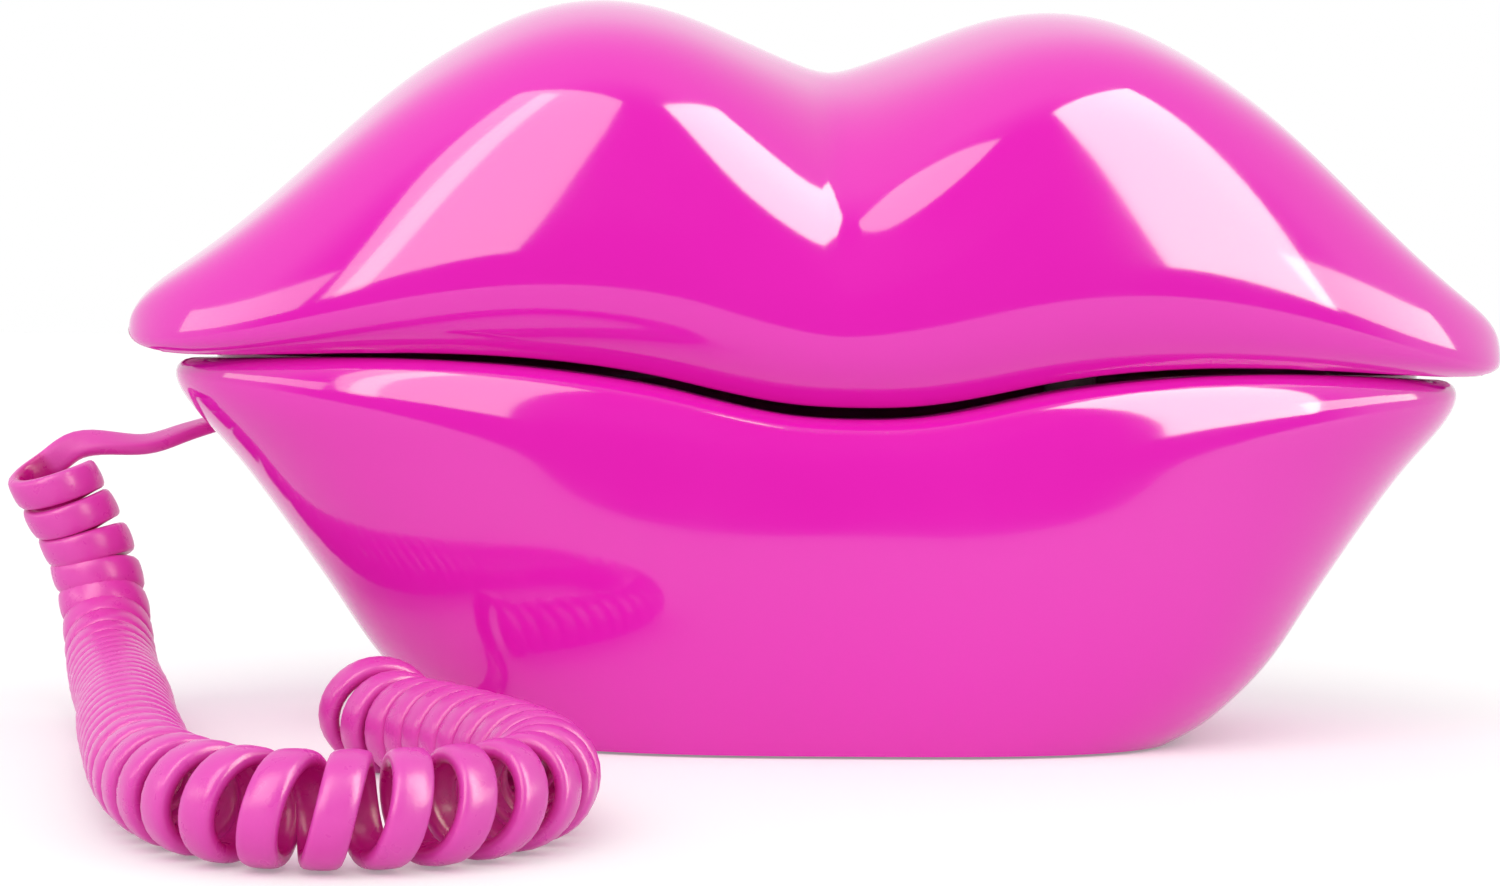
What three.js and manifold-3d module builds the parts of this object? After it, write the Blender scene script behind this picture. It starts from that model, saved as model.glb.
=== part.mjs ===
// A novelty telephone shaped as a pair of lips. The upper lip is the handset, the lower lip is the base.
// Millimetres, +Z up, the front faces -Y and +X is to the right of someone who faces it.
// The origin is on the surface that it stands on, below the middle of the lips.
import * as THREE from 'three';
import { mergeVertices } from 'three/addons/utils/BufferGeometryUtils.js';
import Module from 'manifold-3d';

const wasm = await Module();
wasm.setup();

// Driving dimensions
const lipLength = 210;
const lipDepth = 90;
const crownHeight = 110.3;
const mouthHeight = 55.9;
const tipRise = 3.1;
const mouthDip = 6.9;
const cornerDrop = 0.9;
const mouthGapMiddle = 1.6;
const seamGap = 0.3;
const ridgeSetback = 12;
const notchRound = 3;
const wall = 2.4;
const baseLength = 196.8;
const baseDepth = 87;
const footGap = 1;
const clearance = 0.3;
const overrun = 4;

// Working values of the whole object
const halfLength = lipLength / 2;
const halfDepth = lipDepth / 2;
const tipHeight = mouthHeight + tipRise;
const baseHalfLength = baseLength / 2;
const baseHalfDepth = baseDepth / 2;
const mergeDistance = clearance / 1000;
const largeSides = 24;
const roundSides = 16;
const smallSides = 8;
const cornerSteps = 2;
const upperFacets = { stations: 40, arc: 22, innerStations: 26, innerArc: 12 };
const lowerFacets = { sides: 44, innerSides: 28, ledgeSides: 36, rollSteps: 5 };
const panelSides = 40;

// Outlines as shares. Each row is a place along the piece and a share of the size that it follows.
const crownShares = [[0, 0.807], [0.1, 0.892], [0.2, 0.97], [0.295, 1], [0.4, 0.966], [0.5, 0.868],
  [0.6, 0.725], [0.7, 0.54], [0.8, 0.353], [0.9, 0.209], [1, 0.13]];
const dipShares = [[0, 1], [0.09, 0.94], [0.18, 0.71], [0.27, 0.42], [0.38, 0.18], [0.5, 0.04], [0.62, 0],
  [0.8, 0], [1, 0]];
const sectionKnotShares = [0, 0.04, 0.1, 0.222, 0.385, 0.578, 0.693, 0.803, 0.907, 0.962, 1];
const bulgeShares = [[0, 0.3], [0.3, 0.28], [0.57, 0.25], [0.81, 0.2], [1, 0.18]];
const flankShares = [[0, 0.54], [0.03, 0.573], [0.086, 0.616], [0.165, 0.664], [0.36, 0.747], [0.5, 0.803],
  [0.638, 0.86], [0.777, 0.924], [0.879, 0.98], [1, 1.046]];
const bellyShares = [[0, 0.875], [0.1, 0.92], [0.25, 0.965], [0.45, 0.993], [0.6, 1], [0.75, 1], [0.9, 0.995],
  [1, 0.99]];
const squarenessShares = [[0, 3], [0.3, 2.7], [0.6, 2.4], [1, 2.1]];
const crownSquareness = 2.4;
const upperRimShare = 0.86;
const noseExponent = 24;
const rollStartShare = 0.76;
const rollEndShare = 0.08;
const rollFrontShare = 0.1;
const rollExponent = 3;
const dipEndShare = 0.62;
const gapCloseStartShare = 0.3;
const gapCloseEndShare = 0.85;

// The groove below the notch draws the front of the upper lip in. It runs a little left of the middle.
const groove = {
  slopeShare: 0.21, footReach: 20, headReach: 30, footRise: 4, fade: 20, headRise: 34, shift: -2.8,
  round: 1.2,
};
groove.foot = mouthHeight + groove.footRise;
groove.head = mouthHeight + groove.headRise;
groove.growth = (groove.headReach - groove.footReach) / (groove.head - groove.foot);

// A smooth curve through points, which returns the value at any place
function curveThrough(points) {
  const count = points.length;
  const bend = new Array(count).fill(0);
  const carry = new Array(count).fill(0);
  for (let i = 1; i < count - 1; i++) {
    const before = points[i][0] - points[i - 1][0];
    const after = points[i + 1][0] - points[i][0];
    const slopeBefore = (points[i][1] - points[i - 1][1]) / before;
    const slopeChange = (points[i + 1][1] - points[i][1]) / after - slopeBefore;
    const pivot = 2 * (before + after) - before * carry[i - 1];
    carry[i] = after / pivot;
    bend[i] = (6 * slopeChange - before * bend[i - 1]) / pivot;
  }
  for (let i = count - 2; i > 0; i--) {
    bend[i] -= carry[i] * bend[i + 1];
  }
  return (place) => {
    let i = 0;
    while (i < count - 2 && place > points[i + 1][0]) {
      i++;
    }
    const step = points[i + 1][0] - points[i][0];
    const back = (points[i + 1][0] - place) / step;
    const on = (place - points[i][0]) / step;
    const bow = ((back ** 3 - back) * bend[i] + (on ** 3 - on) * bend[i + 1]) * step * step / 6;
    return back * points[i][1] + on * points[i + 1][1] + bow;
  };
}

// The same, for an outline that is alike on both sides of its middle
function evenCurve(points) {
  const left = points.slice(1).reverse().map(([place, value]) => [-place, value]);
  return curveThrough([...left, ...points]);
}

const crownCurve = curveThrough(crownShares);
const bulgeCurve = curveThrough(bulgeShares);
const dipCurve = evenCurve(dipShares);
const flankCurve = curveThrough(flankShares);
const bellyCurve = curveThrough(bellyShares);
const squarenessCurve = curveThrough(squarenessShares);

function smoothStep(low, high, value) {
  const share = Math.min(1, Math.max(0, (value - low) / (high - low)));
  return share * share * (3 - 2 * share);
}

// The mouth line where the lips meet: it dips at the front middle and drops a little at the corners.
function mouthLevel(x) {
  return mouthHeight - cornerDrop * smoothStep(dipEndShare, 1, Math.abs(x) / halfLength);
}

function frontDip(x) {
  const share = Math.abs(x) / halfLength;
  return share < dipEndShare ? mouthDip * dipCurve(share) : 0;
}

function frontHalfGap(x) {
  const closing = smoothStep(gapCloseStartShare, gapCloseEndShare, Math.abs(x) / halfLength);
  return (mouthGapMiddle * (1 - closing) + seamGap * closing) / 2;
}

// Solids
function solidOf(geometry) {
  const bare = geometry.clone();
  bare.deleteAttribute('normal');
  bare.deleteAttribute('uv');
  const merged = mergeVertices(bare, mergeDistance);
  return new wasm.Manifold(new wasm.Mesh({
    numProp: 3,
    vertProperties: new Float32Array(merged.attributes.position.array),
    triVerts: new Uint32Array(merged.index.array),
  }));
}

function geometryOf(solid) {
  const mesh = solid.getMesh();
  const geometry = new THREE.BufferGeometry();
  geometry.setAttribute('position', new THREE.BufferAttribute(new Float32Array(mesh.vertProperties), 3));
  geometry.setIndex(new THREE.BufferAttribute(new Uint32Array(mesh.triVerts), 1));
  geometry.computeVertexNormals();
  return geometry;
}

function cut(body, ...tools) {
  return tools.reduce((left, tool) => left.subtract(tool), body);
}

function join(body, ...more) {
  return more.reduce((sum, piece) => sum.add(piece), body);
}

// A closed body through loops of points that follow each other. A loop of one point is a pole.
function bodyThrough(loops) {
  const points = [];
  const starts = loops.map((loop) => {
    points.push(...loop);
    return points.length - loop.length;
  });
  const faces = [];
  for (let i = 0; i + 1 < loops.length; i++) {
    const count = Math.max(loops[i].length, loops[i + 1].length);
    for (let j = 0; j < count; j++) {
      const next = (j + 1) % count;
      const a = starts[i] + (loops[i].length > 1 ? j : 0);
      const b = starts[i] + (loops[i].length > 1 ? next : 0);
      const c = starts[i + 1] + (loops[i + 1].length > 1 ? next : 0);
      const d = starts[i + 1] + (loops[i + 1].length > 1 ? j : 0);
      if (a !== b) {
        faces.push([a, b, c]);
      }
      if (c !== d) {
        faces.push([a, c, d]);
      }
    }
  }
  const closeEnd = (loop, start, facing) => {
    if (loop.length === 1) {
      return;
    }
    const middle = new THREE.Vector3();
    loop.forEach((point) => middle.addScaledVector(point, 1 / loop.length));
    points.push(middle);
    for (let j = 0; j < loop.length; j++) {
      const a = start + j;
      const b = start + (j + 1) % loop.length;
      faces.push(facing ? [b, a, points.length - 1] : [a, b, points.length - 1]);
    }
  };
  closeEnd(loops[0], starts[0], true);
  closeEnd(loops[loops.length - 1], starts[loops.length - 1], false);
  const volume = faces.reduce((sum, [a, b, c]) => sum + points[a].dot(points[b].clone().cross(points[c])), 0);
  const order = volume > 0 ? faces : faces.map(([a, b, c]) => [a, c, b]);
  const geometry = new THREE.BufferGeometry().setFromPoints(points);
  geometry.setIndex(order.flat());
  geometry.computeVertexNormals();
  return geometry;
}

function box(low, high) {
  const geometry = new THREE.BoxGeometry(high[0] - low[0], high[1] - low[1], high[2] - low[2]);
  geometry.translate((high[0] + low[0]) / 2, (high[1] + low[1]) / 2, (high[2] + low[2]) / 2);
  return geometry;
}

function cylinder(radius, x, y, bottom, top, sides = roundSides) {
  const geometry = new THREE.CylinderGeometry(radius, radius, top - bottom, sides);
  geometry.rotateX(Math.PI / 2);
  geometry.translate(x, y, (top + bottom) / 2);
  return geometry;
}

function rod(radius, x, y, bottom, top, sides) {
  return solidOf(cylinder(radius, x, y, bottom, top, sides));
}

// A cutting rod that runs past both ends of what it cuts
function bore(radius, x, y, bottom, top, sides) {
  return rod(radius, x, y, bottom - overrun, top + overrun, sides);
}

function block(low, high) {
  return solidOf(box(low, high));
}

function slab(shape, bottom, top) {
  return solidOf(prism(shape, bottom, top));
}

function prism(shape, bottom, top) {
  const geometry = new THREE.ExtrudeGeometry(shape, {
    depth: top - bottom, bevelEnabled: false, curveSegments: cornerSteps,
  });
  geometry.translate(0, 0, bottom);
  return geometry;
}

function roundedRectangle(width, height, corner) {
  const shape = new THREE.Shape();
  const w = width / 2;
  const h = height / 2;
  shape.moveTo(-w + corner, -h);
  shape.lineTo(w - corner, -h);
  shape.absarc(w - corner, -h + corner, corner, -Math.PI / 2, 0, false);
  shape.lineTo(w, h - corner);
  shape.absarc(w - corner, h - corner, corner, 0, Math.PI / 2, false);
  shape.lineTo(-w + corner, h);
  shape.absarc(-w + corner, h - corner, corner, Math.PI / 2, Math.PI, false);
  shape.lineTo(-w, -h + corner);
  shape.absarc(-w + corner, -h + corner, corner, Math.PI, Math.PI * 1.5, false);
  shape.closePath();
  return shape;
}

// A flat outline that is squarer than an ellipse
function squareRound(reachX, reachY, squareness, sides) {
  const points = [];
  for (let i = 0; i < sides; i++) {
    const [x, y] = planPoint(2 * Math.PI * i / sides, reachX, reachY, squareness);
    points.push(new THREE.Vector2(x, y));
  }
  return new THREE.Shape(points);
}

function planPoint(turn, reachX, reachY, squareness) {
  const across = Math.cos(turn);
  const along = Math.sin(turn);
  const power = 2 / squareness;
  return [
    reachX * Math.sign(across) * Math.abs(across) ** power,
    reachY * Math.sign(along) * Math.abs(along) ** power,
  ];
}

function notchGroove(x, z) {
  const reach = groove.footReach + Math.max(0, z - groove.foot) * groove.growth;
  const softPlace = (Math.hypot(x - groove.shift, groove.round) - groove.round) / reach;
  const depth = groove.slopeShare * reach * smoothStep(groove.foot, groove.foot + groove.fade, z);
  return depth * Math.max(0, 1 - softPlace) ** 2;
}

// The upper lip: one closed section at x, taken in by inset and let down below its rim by drop
function upperSection(x, inset, drop, arcSteps) {
  const reach = halfLength - inset;
  const nose = Math.sqrt(Math.max(0, 1 - Math.abs(x / reach) ** noseExponent));
  const plan = Math.sqrt(Math.max(0, 1 - (x / reach) ** 2));
  const softPlace = (Math.sqrt(x * x + notchRound * notchRound) - notchRound) / halfLength;
  const crownRise = (crownHeight - tipHeight) * crownCurve(softPlace) - inset;
  const top = tipHeight + nose * crownRise;
  const frontRim = tipHeight - nose * (tipHeight - mouthLevel(x) + frontDip(x) - frontHalfGap(x));
  const backRim = tipHeight - nose * (tipHeight - mouthLevel(x) - seamGap / 2);
  const ridge = ridgeSetback * plan;
  const out = plan * (halfDepth - inset);
  const rim = plan * (halfDepth * upperRimShare - inset);
  const side = (sign, rimHeight) => {
    const bulge = rimHeight + bulgeCurve(Math.abs(x) / halfLength) * (top - rimHeight);
    const half = Math.SQRT1_2;
    const power = 2 / crownSquareness;
    return [
      [sign * rim, rimHeight],
      [sign * (rim + (out - rim) * half), bulge - (bulge - rimHeight) * half],
      [sign * out, bulge],
      ...[Math.PI / 6, Math.PI / 3].map((angle) => [
        ridge + (sign * out - ridge) * Math.cos(angle) ** power,
        bulge + (top - bulge) * Math.sin(angle) ** power,
      ]),
    ];
  };
  const front = side(-1, frontRim).map(([y, z]) => [y + notchGroove(x, z), z]);
  const frame = [...front, [ridge, top], ...side(1, backRim).reverse()];
  const across = curveThrough(frame.map(([y], i) => [sectionKnotShares[i], y]));
  const upward = curveThrough(frame.map(([, z], i) => [sectionKnotShares[i], z]));
  const loop = [];
  for (let i = 0; i <= arcSteps; i++) {
    loop.push(new THREE.Vector3(x, across(i / arcSteps), upward(i / arcSteps)));
  }
  if (drop > 0) {
    loop.push(new THREE.Vector3(x, rim, backRim - nose * drop));
    loop.push(new THREE.Vector3(x, -rim, frontRim - nose * drop));
  } else {
    loop.push(new THREE.Vector3(x, 0, (frontRim + backRim) / 2));
  }
  return loop;
}

function upperBody(inset, drop, stations, arcSteps) {
  const reach = halfLength - inset;
  const loops = [[new THREE.Vector3(-reach, 0, tipHeight)]];
  for (let i = 1; i < stations; i++) {
    const x = reach * Math.sin(Math.PI * (i / stations - 1 / 2));
    loops.push(upperSection(x, inset, drop, arcSteps));
  }
  loops.push([new THREE.Vector3(reach, 0, tipHeight)]);
  return bodyThrough(loops);
}

// The lower lip: level loops from the bottom to the rim. A level is a share of the height of the rim.
function lowerLoop(level, inset, height, sides) {
  const share = Math.min(1, Math.max(0, level));
  const roll = share > rollStartShare ? (share - rollStartShare) / (1 - rollStartShare) : 0;
  const turnIn = 1 - Math.sqrt(Math.max(0, 1 - roll ** rollExponent));
  const reachX = baseHalfLength * flankCurve(share) * (1 - rollEndShare * turnIn) - inset;
  const reachY = baseHalfDepth * bellyCurve(share) * (1 - rollFrontShare * turnIn) - inset;
  const loop = [];
  for (let i = 0; i < sides; i++) {
    const turn = 2 * Math.PI * i / sides;
    const [x, y] = planPoint(turn, reachX, reachY, squarenessCurve(share));
    const [rimX] = planPoint(turn, baseHalfLength, baseHalfDepth, squarenessCurve(1));
    const rim = Math.sin(turn) < 0
      ? mouthLevel(rimX) - frontDip(rimX) - frontHalfGap(rimX)
      : mouthLevel(rimX) - seamGap / 2;
    loop.push(new THREE.Vector3(x, y, footGap + (rim - footGap) * share + height));
  }
  return loop;
}

const flankLevels = [0, 0.03, 0.086, 0.18, 0.3, 0.42, 0.54, 0.65, rollStartShare];

function lowerBody(inset, sides, past) {
  const levels = [...flankLevels];
  for (let i = 1; i <= lowerFacets.rollSteps; i++) {
    levels.push(rollStartShare + (1 - rollStartShare) * Math.sin(Math.PI / 2 * i / lowerFacets.rollSteps));
  }
  const loops = levels.map((level) => lowerLoop(level, inset, 0, sides));
  if (past > 0) {
    loops.unshift(lowerLoop(0, inset, -past, sides));
    loops.push(lowerLoop(1, inset, past, sides));
  }
  return bodyThrough(loops);
}

// Heights of the handset's inner pieces, from its face upwards
const face = { recess: 1.3, thickness: 2.4, edgeGap: 0.7 };
face.bottom = mouthHeight + face.recess;
face.top = face.bottom + face.thickness;
face.reachX = halfLength - wall - 2 * face.edgeGap - clearance;
face.reachY = halfDepth * upperRimShare - wall - face.edgeGap;

const key = {
  width: 12, height: 8.6, corner: 2, proud: 1.8, flange: 0.8, flangeThickness: 1, travel: 1.2,
  columns: 3, columnPitch: 15.5, rows: 5, rowPitch: 12.2,
};
key.reachX = (key.rows - 1) / 2 * key.rowPitch + key.height / 2;
key.reachY = (key.columns - 1) / 2 * key.columnPitch + key.width / 2;
key.flangeBottom = face.top + clearance;
key.flangeTop = key.flangeBottom + key.flangeThickness;
const mat = { thickness: 1.6, margin: 1.5 };
mat.bottom = key.flangeTop + key.travel + clearance;
mat.top = mat.bottom + mat.thickness;

const fastener = {
  radius: 1.45, headRadius: 3, headHeight: 1.1, bossRadius: 3.5, grip: 7,
  socketDepth: 0.7, socketRadius: 1.1, socketSides: 6,
};
fastener.recess = fastener.headHeight + 2 * clearance;
const handsetScrew = { fromEnd: 8.9, y: 8 };
handsetScrew.x = face.reachX - handsetScrew.fromEnd;

const earpiece = {
  radius: 17.5, height: 9, gasketThickness: 1.5, gasketWidth: 4, ringWall: 1.6, ringHeight: 7,
  canHeight: 5.4, magnetRadius: 10.5, placeShare: 0.755,
};
earpiece.ringInner = earpiece.radius + clearance;
earpiece.ringOuter = earpiece.ringInner + earpiece.ringWall;
earpiece.nearest = key.reachX + key.flange + clearance + earpiece.ringOuter;
earpiece.farthest = handsetScrew.x - fastener.bossRadius - clearance - earpiece.ringOuter;
earpiece.x = earpiece.nearest + earpiece.placeShare * (earpiece.farthest - earpiece.nearest);
const microphone = { fromEnd: 22.9, radius: 4.9, height: 5.5, bootWall: 1.6 };
microphone.x = microphone.fromEnd - face.reachX;
const sound = {
  radius: 1.2, circle: 8, count: 6, microphoneRadius: 0.8, microphoneSpread: 2.6, microphoneCount: 2,
};

const handsetBoard = { thickness: 1.6, leftMargin: 13.3, rightGap: 2.6, backMargin: 5.5, corner: 2 };
handsetBoard.left = -key.reachX - handsetBoard.leftMargin;
handsetBoard.right = earpiece.x - earpiece.ringOuter - handsetBoard.rightGap;
handsetBoard.reachY = key.reachY + handsetBoard.backMargin;
handsetBoard.bottom = mat.top + clearance;
handsetBoard.top = handsetBoard.bottom + handsetBoard.thickness;
const post = { radius: 2.2 };
const toneSwitch = { fromKeys: 9.3, bodyX: 7, bodyY: 13, knobX: 3, knobY: 4, travel: 4, proud: 1 };
toneSwitch.x = -key.reachX - toneSwitch.fromKeys;
toneSwitch.top = handsetBoard.bottom - clearance;

const plug = { width: 7.6, height: 6.4, length: 21, corner: 0.8 };
const jack = { margin: 2, inside: 10, back: 1.6 };
const handsetJack = { fromBoard: 18, seat: 2.7, seatDepth: 10 };
handsetJack.x = handsetBoard.left - handsetJack.fromBoard;
handsetJack.outerX = -handsetJack.x + plug.width / 2 + clearance + jack.margin;
handsetJack.planShare = Math.sqrt(1 - (handsetJack.outerX / (halfLength - wall)) ** 2);
handsetJack.back = handsetJack.planShare * (halfDepth * (1 + upperRimShare) / 2 - wall);
handsetJack.bottom = face.top + handsetJack.seat;
handsetJack.z = handsetJack.bottom + jack.margin + clearance + plug.height / 2;

// Heights of the base's inner pieces, from the bottom upwards
const plate = { thickness: 2.4 };
plate.bottom = footGap;
plate.top = plate.bottom + plate.thickness;
plate.reachX = baseHalfLength * flankCurve(0) - wall - clearance;
plate.reachY = baseHalfDepth * bellyCurve(0) - wall - clearance;
const foot = { radius: 5, height: 2, insetX: 19.4, insetY: 10.4 };
foot.x = plate.reachX - foot.insetX;
foot.y = plate.reachY - foot.insetY;
const baseScrew = { insetX: 8.4, insetY: 16.4 };
baseScrew.x = plate.reachX - baseScrew.insetX;
baseScrew.y = plate.reachY - baseScrew.insetY;
const ballast = { insetX: 16.4, insetFront: 4.4, back: -7, height: 8, corner: 3 };
ballast.reachX = plate.reachX - ballast.insetX;
ballast.front = ballast.insetFront - plate.reachY;
ballast.bottom = plate.top + clearance;
const baseBoard = {
  insetX: 13.4, insetBack: 2.4, front: -3, standoff: 4.6, thickness: 1.6, corner: 2, postInset: 3.5,
};
baseBoard.reachX = plate.reachX - baseBoard.insetX;
baseBoard.back = plate.reachY - baseBoard.insetBack;
baseBoard.bottom = plate.top + baseBoard.standoff;
baseBoard.top = baseBoard.bottom + baseBoard.thickness;
const lineSocket = { width: 9.8, height: 7, depth: 13 };
const rearPieces = { fromBack: 8.5 };
rearPieces.bottom = baseBoard.top + clearance;
rearPieces.back = baseHalfDepth - rearPieces.fromBack;
const lineJack = { insetX: 11 };
lineJack.x = baseBoard.reachX - lineJack.insetX;
lineJack.z = rearPieces.bottom + jack.margin + lineSocket.height / 2;
const cordJack = { insetX: 9 };
cordJack.x = cordJack.insetX - baseBoard.reachX;
cordJack.z = rearPieces.bottom + jack.margin + clearance + plug.height / 2;
const buzzer = { x: 0, y: 9, radius: 11, height: 7.5, holeRadius: 1.6, holeDepth: 3 };
const ringerSwitch = { x: 0, bodyX: 13, bodyY: 6, bodyZ: 7, knobX: 4, knobZ: 3.4, travel: 4, proud: 0.8 };
ringerSwitch.z = rearPieces.bottom + ringerSwitch.bodyZ / 2;

const tray = { thickness: 2.4, below: 10.5, ledge: 2, ledgeWidth: 2.5 };
tray.top = mouthHeight - tray.below;
tray.bottom = tray.top - tray.thickness;
tray.level = (tray.bottom - footGap) / (mouthHeight - footGap);
tray.reachX = baseHalfLength * flankCurve(tray.level) - wall - clearance;
tray.reachY = baseHalfDepth * (1 - rollFrontShare) * bellyCurve(1) - wall - clearance;
const hook = {
  fromKeys: 9.3, radius: 4, flange: 1.6, flangeThickness: 1.5, travel: 3,
  switchX: 16, switchY: 9, switchZ: 8, legWall: 2,
};
hook.x = key.reachX + hook.fromKeys;
hook.top = face.bottom - clearance;
hook.flangeTop = tray.bottom - clearance - hook.travel;
hook.bottom = hook.flangeTop - hook.flangeThickness;
hook.switchTop = hook.bottom - clearance;

// The cord
const cord = {
  width: 4.2, thickness: 2.1, coilRadius: 6.6, flare: 1.3, curlSteps: 8, leadSides: 8, leadStep: 9.2,
  leastGap: 0.4,
};
cord.turnRadius = cord.coilRadius - cord.thickness / 2;
const coilPitchPoints = [
  [0, 5], [0.1, 5.2], [0.2, 5.1], [0.36, 5.4], [0.5, 6.3], [0.62, 6.1], [0.73, 7], [0.86, 5.6], [0.95, 5.2],
  [1, 6.6],
];
const coilFirstAngle = 0.5 * Math.PI;
const coilFlareShare = 0.95;
const coilAxisPoints = [
  [-116.8, 7.6, 36.2], [-115.4, 8, 31.2], [-113, 8.3, 26.3], [-110.9, 7, 21.6], [-108.9, 3.6, 17.2],
  [-107.1, -1.8, 13.6], [-105.3, -8.8, 10.7], [-103.5, -17.2, 8.7], [-101.7, -27.5, 7.5], [-99.8, -40, 7.1],
  [-97.8, -58, 7], [-95.3, -78, 7],
  [-91.8, -98, 7], [-85.5, -116, 7], [-75.5, -127, 7], [-63.5, -129, 7], [-52.5, -123.5, 7],
  [-46, -112, 7], [-45.3, -98, 7], [-49, -84, 7], [-54.8, -71.5, 7], [-61, -60.5, 7],
  [-66.3, -51.5, 7.3], [-68.3, -46.5, 8.3],
];
const handsetLeadPoints = [
  [-60, 47, 67.7], [-60.5, 51.5, 66.8], [-63, 55.5, 64.2], [-68, 57, 60.5], [-75, 54.5, 56], [-82, 48, 51.5],
  [-87.2, 38, 47.9], [-89.3, 29.5, 46.1], [-93.6, 22.6, 44.3], [-99.1, 18.8, 42.1], [-104.6, 16.8, 40],
];
const baseLeadPoints = [
  [-56, -29.6, 1.9], [-57, -22.4, 1.5], [-58.8, -13.4, 1.4], [-60, -2, 1.4], [-60, 10, 1.4], [-58.6, 24, 1.5],
  [-54, 38, 2.2], [-47, 49, 3.8], [-38.5, 56, 6.8], [-31.6, 57.6, 10.8], [-28.6, 55.4, 14.1],
];

// Materials
function finish(color, roughness, metalness = 0) {
  return () => new THREE.MeshStandardMaterial({ color, roughness, metalness });
}

const pinkGloss = finish(0xe927b3, 0.12);
const pinkSatin = finish(0xd8249f, 0.4);
const cordPink = finish(0xe75ec1, 0.45);
const keyWhite = finish(0xf6e9f1, 0.35);
const blackRubber = finish(0x1d1b1d, 0.8);
const darkPlastic = finish(0x26242a, 0.5);
const clearPlastic = finish(0xd9dde0, 0.2);
const boardGreen = finish(0x1f6b3c, 0.5);
const steel = finish(0xb9bbbe, 0.35, 1);

const phone = new THREE.Group();
const handset = new THREE.Group();
const base = new THREE.Group();
const cordGroup = new THREE.Group();
phone.add(handset, base, cordGroup);

function place(group, name, geometry, material) {
  const mesh = new THREE.Mesh(geometry, material());
  mesh.name = name;
  group.add(mesh);
  return mesh;
}

// Screws, and the holes and bosses that take them
function screwHole(x, y, bottom, top) {
  return rod(fastener.radius + clearance, x, y, bottom, top, smallSides);
}

function screwRecess(x, y, under) {
  return rod(fastener.headRadius + clearance, x, y, under - overrun, under + fastener.recess);
}

function screw(x, y, under) {
  const headBottom = under + clearance;
  const headTop = headBottom + fastener.headHeight;
  const socketTop = headBottom + fastener.socketDepth;
  const head = rod(fastener.headRadius, x, y, headBottom, headTop);
  const shank = rod(fastener.radius, x, y, headTop - clearance, headTop + fastener.grip, smallSides);
  const socket = rod(fastener.socketRadius, x, y, under - overrun, socketTop, fastener.socketSides);
  return geometryOf(cut(join(head, shank), socket));
}

const corners = [[-1, -1], [1, -1], [1, 1], [-1, 1]];

function atCorners(spot, make) {
  return corners.map(([sideX, sideY]) => make(sideX * spot.x, sideY * spot.y));
}

// Handset shell: the glossy upper lip, open below, with four screw bosses and a window for the cord's plug
function handsetShell() {
  const outside = solidOf(upperBody(0, 0, upperFacets.stations, upperFacets.arc));
  const inside = solidOf(upperBody(wall, overrun, upperFacets.innerStations, upperFacets.innerArc));
  const bosses = atCorners(handsetScrew, (x, y) => rod(
    fastener.bossRadius, x, y, face.top + clearance, crownHeight, smallSides));
  const holes = atCorners(handsetScrew, (x, y) => screwHole(
    x, y, face.bottom, face.top + fastener.grip + clearance));
  const reachX = plug.width / 2 + 2 * clearance;
  const reachZ = plug.height / 2 + 2 * clearance;
  const window = block(
    [handsetJack.x - reachX, handsetJack.back - overrun, handsetJack.z - reachZ],
    [handsetJack.x + reachX, halfDepth, handsetJack.z + reachZ]);
  const inner = outside.intersect(join(...bosses));
  return geometryOf(cut(join(cut(outside, inside), inner), ...holes, window));
}

// Handset face: the flat inner panel with the key openings, sound holes, posts and the earpiece's ring
function keyPlaces() {
  const rows = [
    ['key_1', 'key_2', 'key_3'], ['key_4', 'key_5', 'key_6'], ['key_7', 'key_8', 'key_9'],
    ['key_star', 'key_0', 'key_hash'], ['key_flash', 'key_redial', 'key_mute'],
  ];
  return rows.flatMap((names, row) => names.map((name, column) => ({
    name,
    x: ((rows.length - 1) / 2 - row) * key.rowPitch,
    y: (column - (names.length - 1) / 2) * key.columnPitch,
  })));
}

function keyShape(grow) {
  return roundedRectangle(key.height + 2 * grow, key.width + 2 * grow, key.corner + grow);
}

function at(geometry, x, y) {
  return geometry.translate(x, y, 0);
}

function soundHoles(x, radius, circle, count) {
  const holes = [[0, 0]];
  for (let i = 0; i < count; i++) {
    const turn = 2 * Math.PI * i / count;
    holes.push([circle * Math.cos(turn), circle * Math.sin(turn)]);
  }
  return holes.map(([dx, dy]) => bore(radius, x + dx, dy, face.bottom, face.top, smallSides));
}

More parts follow.
